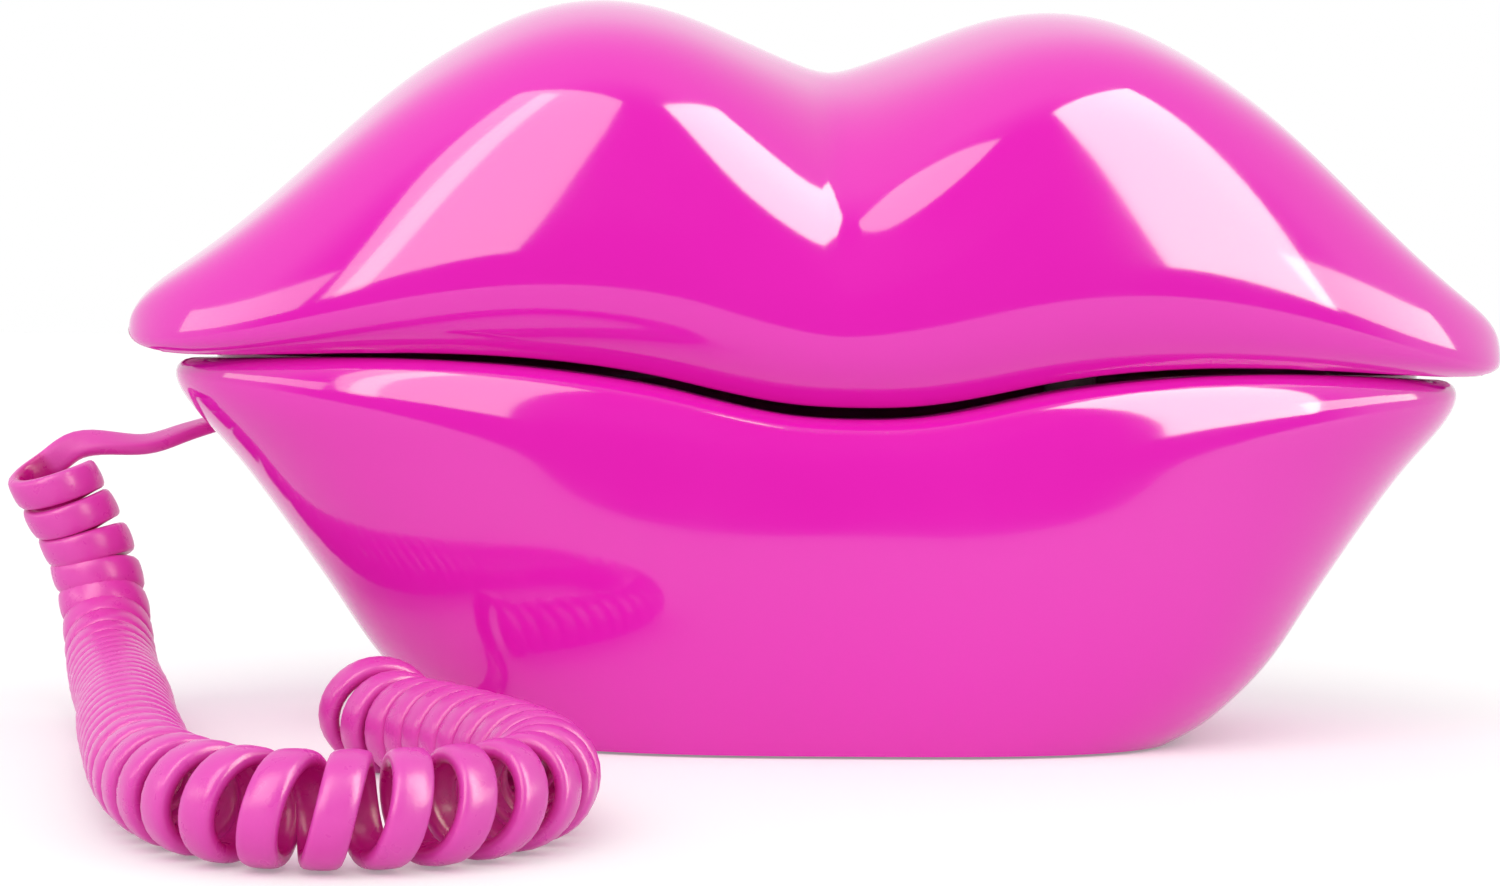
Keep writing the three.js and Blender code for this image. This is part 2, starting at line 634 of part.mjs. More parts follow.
function handsetFaceplate() {
  const panel = slab(squareRound(face.reachX, face.reachY, 2, panelSides), face.bottom, face.top);
  const keyOpenings = keyPlaces().map(({ x, y }) => solidOf(
    at(prism(keyShape(clearance), face.bottom - overrun, face.top + overrun), x, y)));
  const postY = handsetBoard.reachY - post.radius;
  const postPlaces = [handsetBoard.left + post.radius, handsetBoard.right - post.radius].flatMap(
    (x) => [[x, -postY], [x, postY]]);
  const posts = postPlaces.map(([x, y]) => rod(
    post.radius, x, y, face.top - clearance, handsetBoard.bottom - clearance, smallSides));
  const ringTop = face.top + earpiece.ringHeight;
  const ring = cut(
    rod(earpiece.ringOuter, earpiece.x, 0, face.top - clearance, ringTop, largeSides),
    rod(earpiece.ringInner, earpiece.x, 0, face.top, ringTop + overrun, largeSides));
  const edgeY = face.reachY * Math.sqrt(1 - (handsetJack.x / face.reachX) ** 2);
  const seatFront = handsetJack.back - handsetJack.seatDepth - clearance;
  const seat = block(
    [handsetJack.x - plug.width / 2, seatFront, face.top - clearance],
    [handsetJack.x + plug.width / 2, edgeY - 2 * clearance, handsetJack.bottom - clearance]);
  const screwHoles = atCorners(handsetScrew, (x, y) => screwHole(
    x, y, face.bottom - overrun, face.top + overrun));
  const recesses = atCorners(handsetScrew, (x, y) => screwRecess(x, y, face.bottom));
  const slotX = toneSwitch.knobX / 2 + clearance;
  const slotY = (toneSwitch.knobY + toneSwitch.travel) / 2 + clearance;
  const slot = block(
    [toneSwitch.x - slotX, -slotY, face.bottom - overrun],
    [toneSwitch.x + slotX, slotY, face.top + overrun]);
  const earHoles = soundHoles(earpiece.x, sound.radius, sound.circle, sound.count);
  const micHoles = soundHoles(
    microphone.x, sound.microphoneRadius, sound.microphoneSpread, sound.microphoneCount);
  return geometryOf(cut(
    join(panel, ...posts, ring, seat),
    ...keyOpenings, ...screwHoles, ...recesses, slot, ...earHoles, ...micHoles));
}

// A key: its cap passes the panel, and its flange keeps it from falling out
function keyCap(x, y) {
  const cap = slab(keyShape(0), face.bottom - key.proud, key.flangeBottom + clearance);
  const flange = slab(keyShape(key.flange), key.flangeBottom, key.flangeTop);
  return at(geometryOf(join(cap, flange)), x, y);
}

function keypadMat() {
  const reachX = key.reachX + mat.margin;
  const reachY = key.reachY + mat.margin;
  return prism(roundedRectangle(2 * reachX, 2 * reachY, key.corner), mat.bottom, mat.top);
}

// A flat plate with rounded corners, such as a circuit board
function flatPlate(left, right, front, back, corner, bottom, top) {
  const plateShape = roundedRectangle(right - left, back - front, corner);
  return at(prism(plateShape, bottom, top), (left + right) / 2, (front + back) / 2);
}

// The receiver has a stepped can, and a soft ring between it and the panel
function earpieceReceiver() {
  const bottom = face.top + 2 * clearance + earpiece.gasketThickness;
  const can = rod(earpiece.radius, earpiece.x, 0, bottom, bottom + earpiece.canHeight, largeSides);
  const magnet = rod(earpiece.magnetRadius, earpiece.x, 0, bottom, bottom + earpiece.height);
  return geometryOf(join(can, magnet));
}

function receiverGasket() {
  const bottom = face.top + clearance;
  const top = bottom + earpiece.gasketThickness;
  return geometryOf(cut(
    rod(earpiece.radius, earpiece.x, 0, bottom, top, largeSides),
    bore(earpiece.radius - earpiece.gasketWidth, earpiece.x, 0, bottom, top, largeSides)));
}

// The microphone sits in a rubber cup that opens towards the panel
function microphoneBoot() {
  const bottom = face.top + clearance;
  const roof = bottom + clearance + microphone.height + clearance;
  const inner = microphone.radius + clearance;
  return geometryOf(cut(
    rod(inner + microphone.bootWall, microphone.x, 0, bottom, roof + microphone.bootWall),
    rod(inner, microphone.x, 0, bottom - overrun, roof)));
}

function microphoneCapsule() {
  const bottom = face.top + 2 * clearance;
  return cylinder(microphone.radius, microphone.x, 0, bottom, bottom + microphone.height);
}

function toneSwitchBody() {
  return box(
    [toneSwitch.x - toneSwitch.bodyX / 2, -toneSwitch.bodyY / 2, face.top + clearance],
    [toneSwitch.x + toneSwitch.bodyX / 2, toneSwitch.bodyY / 2, toneSwitch.top]);
}

function toneSwitchKnob() {
  const front = -(toneSwitch.knobY + toneSwitch.travel) / 2;
  return box(
    [toneSwitch.x - toneSwitch.knobX / 2, front, face.bottom - toneSwitch.proud],
    [toneSwitch.x + toneSwitch.knobX / 2, front + toneSwitch.knobY, face.top]);
}

// A jack is a block with a socket at its back that a plug goes into
function socketBlock(x, z, back, width, height, depth, bottom) {
  const reachX = width / 2;
  const reachZ = height / 2;
  const body = block(
    [x - reachX - jack.margin, back - depth - jack.back, bottom],
    [x + reachX + jack.margin, back, z + reachZ + jack.margin]);
  const socket = block([x - reachX, back - depth, z - reachZ], [x + reachX, back + overrun, z + reachZ]);
  return geometryOf(cut(body, socket));
}

function cordJackBlock(x, z, back, bottom) {
  const width = plug.width + 2 * clearance;
  const height = plug.height + 2 * clearance;
  return socketBlock(x, z, back, width, height, jack.inside, bottom);
}

function cordPlug(x, z, back) {
  const front = back - jack.inside + clearance;
  const geometry = prism(roundedRectangle(plug.width, plug.height, plug.corner), 0, plug.length);
  geometry.rotateX(-Math.PI / 2);
  return geometry.translate(x, front, z);
}

// Base shell: the glossy lower lip, open above and below, with a ledge under the tray and windows at the back
function baseShell() {
  const outside = solidOf(lowerBody(0, lowerFacets.sides, 0));
  const inside = solidOf(lowerBody(wall, lowerFacets.innerSides, overrun));
  const midWall = solidOf(lowerBody(wall / 2, lowerFacets.innerSides, 0));
  const ledgeTop = tray.bottom - clearance;
  const ledgeBottom = ledgeTop - tray.ledge;
  const openingX = tray.reachX - tray.ledgeWidth;
  const openingY = tray.reachY - tray.ledgeWidth;
  const opening = slab(
    squareRound(openingX, openingY, squarenessCurve(1), lowerFacets.ledgeSides),
    ledgeBottom - overrun, ledgeTop + overrun);
  const layer = block([-halfLength, -halfDepth, ledgeBottom], [halfLength, halfDepth, ledgeTop]);
  const ledge = cut(midWall.intersect(layer), opening);
  const rearWindow = (x, z, width, height) => block(
    [x - width / 2, rearPieces.back - overrun, z - height / 2],
    [x + width / 2, baseHalfDepth + overrun, z + height / 2]);
  const slotX = ringerSwitch.knobX + ringerSwitch.travel + 2 * clearance;
  const slotZ = ringerSwitch.knobZ + 2 * clearance;
  return geometryOf(cut(
    join(cut(outside, inside), ledge),
    rearWindow(lineJack.x, lineJack.z, lineSocket.width + 2 * clearance, lineSocket.height + 2 * clearance),
    rearWindow(cordJack.x, cordJack.z, plug.width + 4 * clearance, plug.height + 4 * clearance),
    rearWindow(ringerSwitch.x, ringerSwitch.z, slotX, slotZ)));
}

// Base tray: the floor of the mouth, with the hook button's hole, legs for its switch, and screw posts
function baseTray() {
  const outline = squareRound(tray.reachX, tray.reachY, squarenessCurve(1), panelSides);
  const panel = slab(outline, tray.bottom, tray.top);
  const hole = bore(hook.radius + clearance, hook.x, 0, tray.bottom, tray.top);
  const legs = [-1, 1].map((side) => {
    const inner = hook.switchX / 2 + clearance;
    const low = hook.x + (side < 0 ? -inner - hook.legWall : inner);
    return block(
      [low, -hook.switchY / 2, hook.switchTop - hook.switchZ],
      [low + hook.legWall, hook.switchY / 2, tray.bottom + clearance]);
  });
  const posts = atCorners(baseScrew, (x, y) => rod(
    fastener.bossRadius, x, y, plate.top + clearance, tray.bottom + clearance, smallSides));
  const pilots = atCorners(baseScrew, (x, y) => screwHole(
    x, y, plate.bottom, plate.bottom + fastener.recess + fastener.grip + clearance));
  return geometryOf(cut(join(panel, ...legs, ...posts), hole, ...pilots));
}

// The hook button stands through the tray and touches the handset's face. A flange keeps it in.
function hookButton() {
  const shaft = rod(hook.radius, hook.x, 0, hook.bottom, hook.top);
  const flange = rod(hook.radius + hook.flange, hook.x, 0, hook.bottom, hook.flangeTop);
  return geometryOf(join(shaft, flange));
}

function hookSwitch() {
  return box(
    [hook.x - hook.switchX / 2, -hook.switchY / 2, hook.switchTop - hook.switchZ],
    [hook.x + hook.switchX / 2, hook.switchY / 2, hook.switchTop]);
}

// Base plate: closes the bottom, with recesses for the feet and screws and short posts for the board
function basePlate() {
  const outline = squareRound(plate.reachX, plate.reachY, squarenessCurve(0), panelSides);
  const panel = slab(outline, plate.bottom, plate.top);
  const postX = baseBoard.reachX - 2 * baseBoard.postInset;
  const postYs = [baseBoard.front + baseBoard.postInset, baseBoard.back - baseBoard.postInset];
  const posts = postYs.flatMap((y) => [-postX, postX].map((x) => rod(
    post.radius, x, y, plate.top - clearance, baseBoard.bottom - clearance, smallSides)));
  const footSeats = atCorners(foot, (x, y) => rod(
    foot.radius + clearance, x, y, plate.bottom - overrun, foot.height + clearance));
  const screwHoles = atCorners(baseScrew, (x, y) => screwHole(
    x, y, plate.bottom - overrun, plate.top + overrun));
  const recesses = atCorners(baseScrew, (x, y) => screwRecess(x, y, plate.bottom));
  return geometryOf(cut(join(panel, ...posts), ...footSeats, ...screwHoles, ...recesses));
}

function ringerBuzzer() {
  const top = rearPieces.bottom + buzzer.height;
  return geometryOf(cut(
    rod(buzzer.radius, buzzer.x, buzzer.y, rearPieces.bottom, top),
    rod(buzzer.holeRadius, buzzer.x, buzzer.y, top - buzzer.holeDepth, top + overrun, smallSides)));
}

// The ringer switch's knob passes a slot in the back of the shell
function rearOutside(x, z) {
  const level = (z - footGap) / (mouthHeight - footGap);
  const reachX = baseHalfLength * flankCurve(level);
  const squareness = squarenessCurve(level);
  return baseHalfDepth * bellyCurve(level) * (1 - Math.abs(x / reachX) ** squareness) ** (1 / squareness);
}

function ringerSwitchBody() {
  return box(
    [ringerSwitch.x - ringerSwitch.bodyX / 2, rearPieces.back - ringerSwitch.bodyY, rearPieces.bottom],
    [ringerSwitch.x + ringerSwitch.bodyX / 2, rearPieces.back, rearPieces.bottom + ringerSwitch.bodyZ]);
}

function ringerSwitchKnob() {
  const left = ringerSwitch.x - (ringerSwitch.knobX + ringerSwitch.travel) / 2;
  const back = rearOutside(left, ringerSwitch.z) + ringerSwitch.proud;
  return box(
    [left, rearPieces.back + clearance, ringerSwitch.z - ringerSwitch.knobZ / 2],
    [left + ringerSwitch.knobX, back, ringerSwitch.z + ringerSwitch.knobZ / 2]);
}

// A smooth line through points in space, which gives the place and the length passed at any share of it
function lineThrough(points) {
  const vectors = points.map((point) => new THREE.Vector3(...point));
  const passed = [0];
  for (let i = 1; i < vectors.length; i++) {
    passed.push(passed[i - 1] + vectors[i].distanceTo(vectors[i - 1]));
  }
  const axes = ['x', 'y', 'z'].map((axis) => curveThrough(
    vectors.map((vector, i) => [passed[i], vector[axis]])));
  return {
    length: passed[passed.length - 1],
    at: (place) => new THREE.Vector3(...axes.map((axis) => axis(place))),
  };
}

// Curly cord: one flat ribbon tube wound to the left round its line, with a straight stretch at each end
function curlyCord() {
  const line = lineThrough(coilAxisPoints);
  const pitch = curveThrough(coilPitchPoints);
  const probe = line.length / 4000;
  const tangentAt = (place) => line.at(place + probe).sub(line.at(place - probe)).normalize();
  const turns = [];
  let angle = coilFirstAngle;
  let normal = new THREE.Vector3(0, 1, 0);
  let place = 0;
  let lowest = false;
  while (place < line.length || !lowest) {
    const tangent = tangentAt(place);
    normal = normal.clone().addScaledVector(tangent, -normal.dot(tangent)).normalize();
    const binormal = new THREE.Vector3().crossVectors(tangent, normal);
    const spoke = normal.clone().multiplyScalar(Math.cos(angle - coilFirstAngle))
      .addScaledVector(binormal, -Math.sin(angle - coilFirstAngle));
    const radius = cord.turnRadius + cord.flare * smoothStep(coilFlareShare, 1, place / line.length);
    turns.push({ point: line.at(place).addScaledVector(spoke, radius), spoke });
    lowest = -spoke.z > Math.cos(Math.PI / cord.curlSteps);
    const step = pitch(place / line.length) / cord.curlSteps;
    place += step;
    angle += 2 * Math.PI / cord.curlSteps;
  }
  const run = cord.width;
  const first = turns[0];
  const last = turns[turns.length - 1];
  const startWay = first.point.clone().sub(turns[1].point).normalize();
  const endWay = last.point.clone().sub(turns[turns.length - 2].point).setZ(0).normalize();
  const path = [
    { point: first.point.clone().addScaledVector(startWay, run), spoke: first.spoke },
    ...turns,
    { point: last.point.clone().addScaledVector(endWay, run), spoke: last.spoke },
  ];
  const loops = path.map(({ point, spoke }, i) => {
    const ahead = path[Math.min(i + 1, path.length - 1)].point;
    const behind = path[Math.max(i - 1, 0)].point;
    const way = ahead.clone().sub(behind).normalize();
    const thick = spoke.clone().addScaledVector(way, -spoke.dot(way)).normalize();
    const wide = new THREE.Vector3().crossVectors(way, thick);
    return cordSectionShares.map(([across, out]) => point.clone()
      .addScaledVector(wide, across * cord.width / 2)
      .addScaledVector(thick, out * cord.thickness / 2));
  });
  measureGap(loops);
  return {
    geometry: bodyThrough(loops),
    start: path[0].point,
    startWay,
    end: path[path.length - 1].point,
    endWay,
  };
}

const cordSectionShares = [[-1, -1], [1, -1], [1, 0.5], [0, 1], [-1, 0.5]];

// The least gap between turns, measured on the points of the tube
function measureGap(loops) {
  let least = Infinity;
  const apart = cord.curlSteps / 2;
  for (let i = 0; i < loops.length; i++) {
    for (let j = i + apart; j < Math.min(loops.length, i + 3 * cord.curlSteps); j++) {
      for (const a of loops[i]) {
        for (const b of loops[j]) {
          least = Math.min(least, a.distanceTo(b));
        }
      }
    }
  }
  const state = least > cord.leastGap ? 'clear' : 'too close';
  console.log(`curly cord: ${loops.length} rings, least gap between turns ${least.toFixed(2)} mm, ${state}`);
}

// A straight lead: a tube of the cord along its own points, between two faces that it stops short of
function lead(points) {
  const line = lineThrough(points);
  const steps = Math.round(line.length / cord.leadStep);
  const curve = new THREE.CatmullRomCurve3(
    Array.from({ length: steps + 1 }, (_, i) => line.at(line.length * i / steps)));
  const section = new THREE.Shape();
  for (let i = 0; i < cord.leadSides; i++) {
    const turn = 2 * Math.PI * (i + 1 / 2) / cord.leadSides;
    const x = cord.thickness / 2 * Math.cos(turn);
    const y = cord.thickness / 2 * Math.sin(turn);
    if (i === 0) {
      section.moveTo(x, y);
    } else {
      section.lineTo(x, y);
    }
  }
  section.closePath();
  return new THREE.ExtrudeGeometry(section, { steps, extrudePath: curve, bevelEnabled: false });
}

// Handset assembly
place(handset, 'handset_shell', handsetShell(), pinkGloss);
place(handset, 'handset_faceplate', handsetFaceplate(), pinkSatin);
for (const { name, x, y } of keyPlaces()) {
  place(handset, name, keyCap(x, y), keyWhite);
}
place(handset, 'keypad_mat', keypadMat(), blackRubber);
place(handset, 'handset_board', flatPlate(handsetBoard.left, handsetBoard.right, -handsetBoard.reachY,
  handsetBoard.reachY, handsetBoard.corner, handsetBoard.bottom, handsetBoard.top), boardGreen);
place(handset, 'earpiece_receiver', earpieceReceiver(), darkPlastic);
place(handset, 'receiver_gasket', receiverGasket(), blackRubber);
place(handset, 'microphone_boot', microphoneBoot(), blackRubber);
place(handset, 'microphone_capsule', microphoneCapsule(), steel);
place(handset, 'tone_switch_body', toneSwitchBody(), darkPlastic);
place(handset, 'tone_switch_knob', toneSwitchKnob(), keyWhite);
place(handset, 'handset_jack', cordJackBlock(
  handsetJack.x, handsetJack.z, handsetJack.back, handsetJack.bottom), darkPlastic);
atCorners(handsetScrew, (x, y) => screw(x, y, face.bottom)).forEach((geometry, i) => {
  place(handset, `handset_screw_${i + 1}`, geometry, steel);
});

// Base assembly
place(base, 'base_shell', baseShell(), pinkGloss);
place(base, 'base_tray', baseTray(), pinkSatin);
place(base, 'hook_button', hookButton(), keyWhite);
place(base, 'hook_switch', hookSwitch(), darkPlastic);
place(base, 'base_plate', basePlate(), darkPlastic);
place(base, 'base_ballast', flatPlate(-ballast.reachX, ballast.reachX, ballast.front, ballast.back,
  ballast.corner, ballast.bottom, ballast.bottom + ballast.height), steel);
place(base, 'base_board', flatPlate(-baseBoard.reachX, baseBoard.reachX, baseBoard.front, baseBoard.back,
  baseBoard.corner, baseBoard.bottom, baseBoard.top), boardGreen);
place(base, 'line_jack', socketBlock(lineJack.x, lineJack.z, rearPieces.back, lineSocket.width,
  lineSocket.height, lineSocket.depth, rearPieces.bottom), darkPlastic);
place(base, 'cord_jack', cordJackBlock(
  cordJack.x, cordJack.z, rearPieces.back, rearPieces.bottom), darkPlastic);
place(base, 'ringer_buzzer', ringerBuzzer(), darkPlastic);
place(base, 'ringer_switch_body', ringerSwitchBody(), darkPlastic);
place(base, 'ringer_switch_knob', ringerSwitchKnob(), blackRubber);
atCorners(baseScrew, (x, y) => screw(x, y, plate.bottom)).forEach((geometry, i) => {
  place(base, `base_screw_${i + 1}`, geometry, steel);
});
atCorners(foot, (x, y) => cylinder(foot.radius, x, y, 0, foot.height)).forEach((geometry, i) => {
  place(base, `rubber_foot_${i + 1}`, geometry, blackRubber);
});

// Cord assembly
const curls = curlyCord();
const handsetPlug = cordPlug(handsetJack.x, handsetJack.z, handsetJack.back);
const basePlug = cordPlug(cordJack.x, cordJack.z, rearPieces.back);
const plugTail = (x, z, back, past) => [x, back - jack.inside + clearance + plug.length + past, z];
const past = (point, way, far) => point.clone().addScaledVector(way, far).toArray();
place(cordGroup, 'curly_cord', curls.geometry, cordPink);
place(cordGroup, 'handset_plug', handsetPlug, clearPlastic);
place(cordGroup, 'base_plug', basePlug, clearPlastic);
place(cordGroup, 'handset_lead', lead([
  plugTail(handsetJack.x, handsetJack.z, handsetJack.back, clearance),
  ...handsetLeadPoints,
  past(curls.start, curls.startWay, cord.width),
  past(curls.start, curls.startWay, clearance),
]), cordPink);
place(cordGroup, 'base_lead', lead([
  past(curls.end, curls.endWay, clearance),
  past(curls.end, curls.endWay, cord.width),
  ...baseLeadPoints,
  plugTail(cordJack.x, cordJack.z, rearPieces.back, cord.width),
  plugTail(cordJack.x, cordJack.z, rearPieces.back, clearance),
]), cordPink);

export default phone;
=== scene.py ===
from math import copysign, cos, hypot, pi, radians, sin, sqrt

import bmesh
import bpy
from mathutils import Matrix, Vector


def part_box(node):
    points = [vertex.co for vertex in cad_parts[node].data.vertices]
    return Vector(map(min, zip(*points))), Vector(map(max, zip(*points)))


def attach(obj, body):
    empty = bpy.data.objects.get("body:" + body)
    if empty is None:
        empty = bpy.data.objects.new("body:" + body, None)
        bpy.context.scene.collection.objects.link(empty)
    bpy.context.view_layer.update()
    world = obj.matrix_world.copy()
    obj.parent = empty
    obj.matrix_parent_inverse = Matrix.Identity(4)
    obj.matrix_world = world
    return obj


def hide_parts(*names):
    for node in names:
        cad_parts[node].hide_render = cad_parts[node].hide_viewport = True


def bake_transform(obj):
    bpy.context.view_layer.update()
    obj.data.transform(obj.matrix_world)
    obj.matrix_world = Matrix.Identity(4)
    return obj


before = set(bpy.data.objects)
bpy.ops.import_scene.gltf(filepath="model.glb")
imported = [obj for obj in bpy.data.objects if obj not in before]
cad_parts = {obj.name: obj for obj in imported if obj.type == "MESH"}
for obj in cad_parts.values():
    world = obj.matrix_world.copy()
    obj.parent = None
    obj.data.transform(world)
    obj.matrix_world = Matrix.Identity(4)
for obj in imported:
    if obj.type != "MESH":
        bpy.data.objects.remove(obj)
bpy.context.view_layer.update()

# The camera stands a little to the left of the lips' middle, at the height of the mouth, and looks
# slightly down. Its place, aim and lens were fitted to the outline of the lips in the photograph.
camera_place = Vector((-0.057, -0.4768, 0.0604))
camera_pan = radians(5.47)
camera_tilt = radians(2.05)
camera_roll = radians(1.1)
camera_turn = (
    Matrix.Rotation(-camera_pan, 3, "Z")
    @ Matrix.Rotation(pi / 2 - camera_tilt, 3, "X")
    @ Matrix.Rotation(camera_roll, 3, "Z")
)
bpy.ops.object.camera_add(location=camera_place, rotation=camera_turn.to_euler())
camera = bpy.context.object
camera.name = "photo_camera"
camera.data.sensor_width = 36
camera.data.lens = 75.3
camera.data.clip_start = 0.01
bpy.context.scene.camera = camera


# The handset cord: one flat vinyl cord, wound to the left into a coil, with a straight lead at each end.
# It leaves the handset's plug behind the left end, comes down to the surface, runs forward and to the
# right, turns back and goes under the lips to the plug at the back of the base.
cord_width = 0.0046
cord_thickness = 0.0023
cord_step = 0.00125
cord_rest = 0.0001
turn_pull = 0.12
lift_reach = 0.085
# Where the painted shade on the curls' inner side begins and where it is full, as shares of the cord's half
# thickness towards the inside.
curl_shade_start, curl_shade_end = -0.1, 0.7
probe_count = 4000
plug_sink = 0.001
handset_exit_x = -0.06
wound_width = 0.0042
coil_radius = 0.0066
ribbon_sink = 0.00105
turn_radius = coil_radius - ribbon_sink
coil_flare = 0.0013
flare_start = 0.95
curl_steps = 8
lowest_part = 0.87
coil_pitch = [
    (0, 0.005), (0.1, 0.0052), (0.2, 0.0051), (0.36, 0.0054), (0.5, 0.0063), (0.62, 0.0061), (0.73, 0.007),
    (0.86, 0.0056), (0.95, 0.0052), (1, 0.0066),
]
coil_axis = [
    (-0.1176, 0.0076, 0.0374), (-0.1147, 0.0085, 0.0316), (-0.1121, 0.0093, 0.0264),
    (-0.1104, 0.0094, 0.0216), (-0.1092, 0.0083, 0.0171), (-0.1082, 0.0052, 0.0131),
    (-0.1072, -0.0003, 0.0103), (-0.1058, -0.0088, 0.0083), (-0.1038, -0.0215, 0.0074),
    (-0.1012, -0.038, 0.0071), (-0.0988, -0.058, 0.007), (-0.0959, -0.0785, 0.007), (-0.0925, -0.1, 0.007),
    (-0.0866, -0.1188, 0.007), (-0.0766, -0.13, 0.007), (-0.064, -0.1308, 0.007), (-0.0528, -0.1242, 0.007),
    (-0.0462, -0.112, 0.007), (-0.0453, -0.098, 0.007), (-0.0487, -0.084, 0.007), (-0.0541, -0.0718, 0.007),
    (-0.06, -0.061, 0.007), (-0.065, -0.0522, 0.0073), (-0.0668, -0.0472, 0.0083),
]
handset_lead = [
    (-0.06, 0.047, 0.0677), (-0.0605, 0.0515, 0.0668), (-0.063, 0.0555, 0.0642), (-0.068, 0.057, 0.0605),
    (-0.075, 0.0545, 0.056), (-0.082, 0.048, 0.0515), (-0.0872, 0.038, 0.0479), (-0.0893, 0.0295, 0.0461),
    (-0.0936, 0.0226, 0.0443), (-0.0988, 0.0196, 0.0426), (-0.104, 0.017, 0.041),
]
base_lead = [
    (-0.056, -0.0296, 0.0019), (-0.057, -0.0224, 0.0015), (-0.0588, -0.0134, 0.0014), (-0.06, -0.002, 0.0014),
    (-0.06, 0.01, 0.0014), (-0.0586, 0.024, 0.0015), (-0.054, 0.038, 0.0022), (-0.047, 0.049, 0.0038),
    (-0.0385, 0.056, 0.0068), (-0.0316, 0.0576, 0.0108), (-0.0286, 0.0554, 0.0141),
]


def curve_through(points):
    """A smooth curve through (place, value) pairs, as a function of the place."""
    count = len(points)
    bend = [0.0] * count
    carry = [0.0] * count
    for i in range(1, count - 1):
        before = points[i][0] - points[i - 1][0]
        after = points[i + 1][0] - points[i][0]
        slope_before = (points[i][1] - points[i - 1][1]) / before
        slope_change = (points[i + 1][1] - points[i][1]) / after - slope_before
        pivot = 2 * (before + after) - before * carry[i - 1]
        carry[i] = after / pivot
        bend[i] = (6 * slope_change - before * bend[i - 1]) / pivot
    for i in range(count - 2, 0, -1):
        bend[i] -= carry[i] * bend[i + 1]
    places = [place for place, _ in points]

    def value_at(place):
        low, high = 0, count - 2
        while low < high:
            middle = (low + high + 1) // 2
            if place > places[middle]:
                low = middle
            else:
                high = middle - 1
        step = points[low + 1][0] - points[low][0]
        back = (points[low + 1][0] - place) / step
        on = (place - points[low][0]) / step
        bow = ((back**3 - back) * bend[low] + (on**3 - on) * bend[low + 1]) * step * step / 6
        return back * points[low][1] + on * points[low + 1][1] + bow

    return value_at


class Line:
    """A smooth line through points in space, which gives the point at any length along it."""

    def __init__(self, points):
        points = [Vector(point) for point in points]
        self.passed = [0.0]
        for i in range(1, len(points)):
            self.passed.append(self.passed[-1] + (points[i] - points[i - 1]).length)
        self.length = self.passed[-1]
        self.axes = [
            curve_through([(place, point[axis]) for place, point in zip(self.passed, points)])
            for axis in range(3)
        ]

    def at(self, place):
        return Vector([axis(place) for axis in self.axes])


def smooth_step(low, high, value):
    share = min(1, max(0, (value - low) / (high - low)))
    return share * share * (3 - 2 * share)


axis_line = Line(coil_axis)
pitch_at = curve_through(coil_pitch)
probe = axis_line.length / probe_count
coil_points = []
coil_spokes = []
coil_places = []
normal = Vector((0, 1, 0))
place = 0
# The coil goes on past the end of its axis, to the first point whose spoke points almost straight down,
# so that the lead leaves it along the floor.
lowest = False
while place < axis_line.length or not lowest:
    tangent = (axis_line.at(place + probe) - axis_line.at(place - probe)).normalized()
    normal = (normal - tangent * normal.dot(tangent)).normalized()
    turn = 2 * pi * len(coil_points) / curl_steps
    spoke = normal * cos(turn) - tangent.cross(normal) * sin(turn)
    reach = turn_radius + coil_flare * smooth_step(flare_start, 1, place / axis_line.length)
    lowest = -spoke.z > lowest_part
    coil_points.append(axis_line.at(place) + spoke * reach)
    coil_spokes.append(spoke)
    coil_places.append(place)
    place += pitch_at(place / axis_line.length) / curl_steps

start_way = (coil_points[0] - coil_points[1]).normalized()
end_way = coil_points[-1] - coil_points[-2]
end_way.z = 0
end_way.normalize()
plug_low, plug_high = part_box("handset_plug")
base_plug_low, base_plug_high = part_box("base_plug")
plug_middle = (plug_low + plug_high) / 2
base_plug_middle = (base_plug_low + base_plug_high) / 2
handset_exit = Vector((handset_exit_x, plug_high.y - plug_sink, plug_middle.z))
base_exit = Vector((base_plug_middle.x, base_plug_high.y - plug_sink, base_plug_middle.z))
lead_in = [
    handset_exit,
    *[Vector(point) for point in handset_lead],
    coil_points[0] + start_way * wound_width,
]
lead_out = [
    coil_points[-1] + end_way * wound_width,
    coil_points[-1] + end_way * 2 * wound_width,
    *[Vector(point) for point in base_lead],
    base_exit + Vector((0, cord_width + plug_sink, 0)),
    base_exit,
]
cord_line = Line([*lead_in, *coil_points, *lead_out])
coil_passed = cord_line.passed[len(lead_in):len(lead_in) + len(coil_points)]
coil_start, coil_end = coil_passed[0], coil_passed[-1]
spoke_line = [
    curve_through([(passed, spoke[axis]) for passed, spoke in zip(coil_passed, coil_spokes)])
    for axis in range(3)
]
axis_place_at = curve_through(list(zip(coil_passed, coil_places)))

ring_count = round(cord_line.length / cord_step)
ring_places = [cord_line.length * i / ring_count for i in range(ring_count + 1)]
centres = [cord_line.at(place) for place in ring_places]
ways = [
    (centres[min(i + 1, ring_count)] - centres[max(i - 1, 0)]).normalized() for i in range(ring_count + 1)
]
outward = [None] * len(centres)
for i, place in enumerate(ring_places):
    if coil_start <= place <= coil_end:
        spoke = Vector([axis(place) for axis in spoke_line])
        outward[i] = (spoke - ways[i] * spoke.dot(ways[i])).normalized()


def lay_flat(rings):
    """Carries the cord's flat side from the coil along a lead, and soon turns it to face up."""
    for behind, here in zip(rings, rings[1:]):
        carried = (outward[behind] - ways[here] * outward[behind].dot(ways[here])).normalized()
        goal = (Vector((0, 0, 1)) - ways[here] * ways[here].z).normalized()
        if carried.dot(goal) < 0:
            goal.negate()
        outward[here] = carried.lerp(goal, turn_pull).normalized()


first_ring = next(i for i, side in enumerate(outward) if side is not None)
last_ring = max(i for i, side in enumerate(outward) if side is not None)
lay_flat(list(range(first_ring, -1, -1)))
lay_flat(list(range(last_ring, ring_count + 1)))

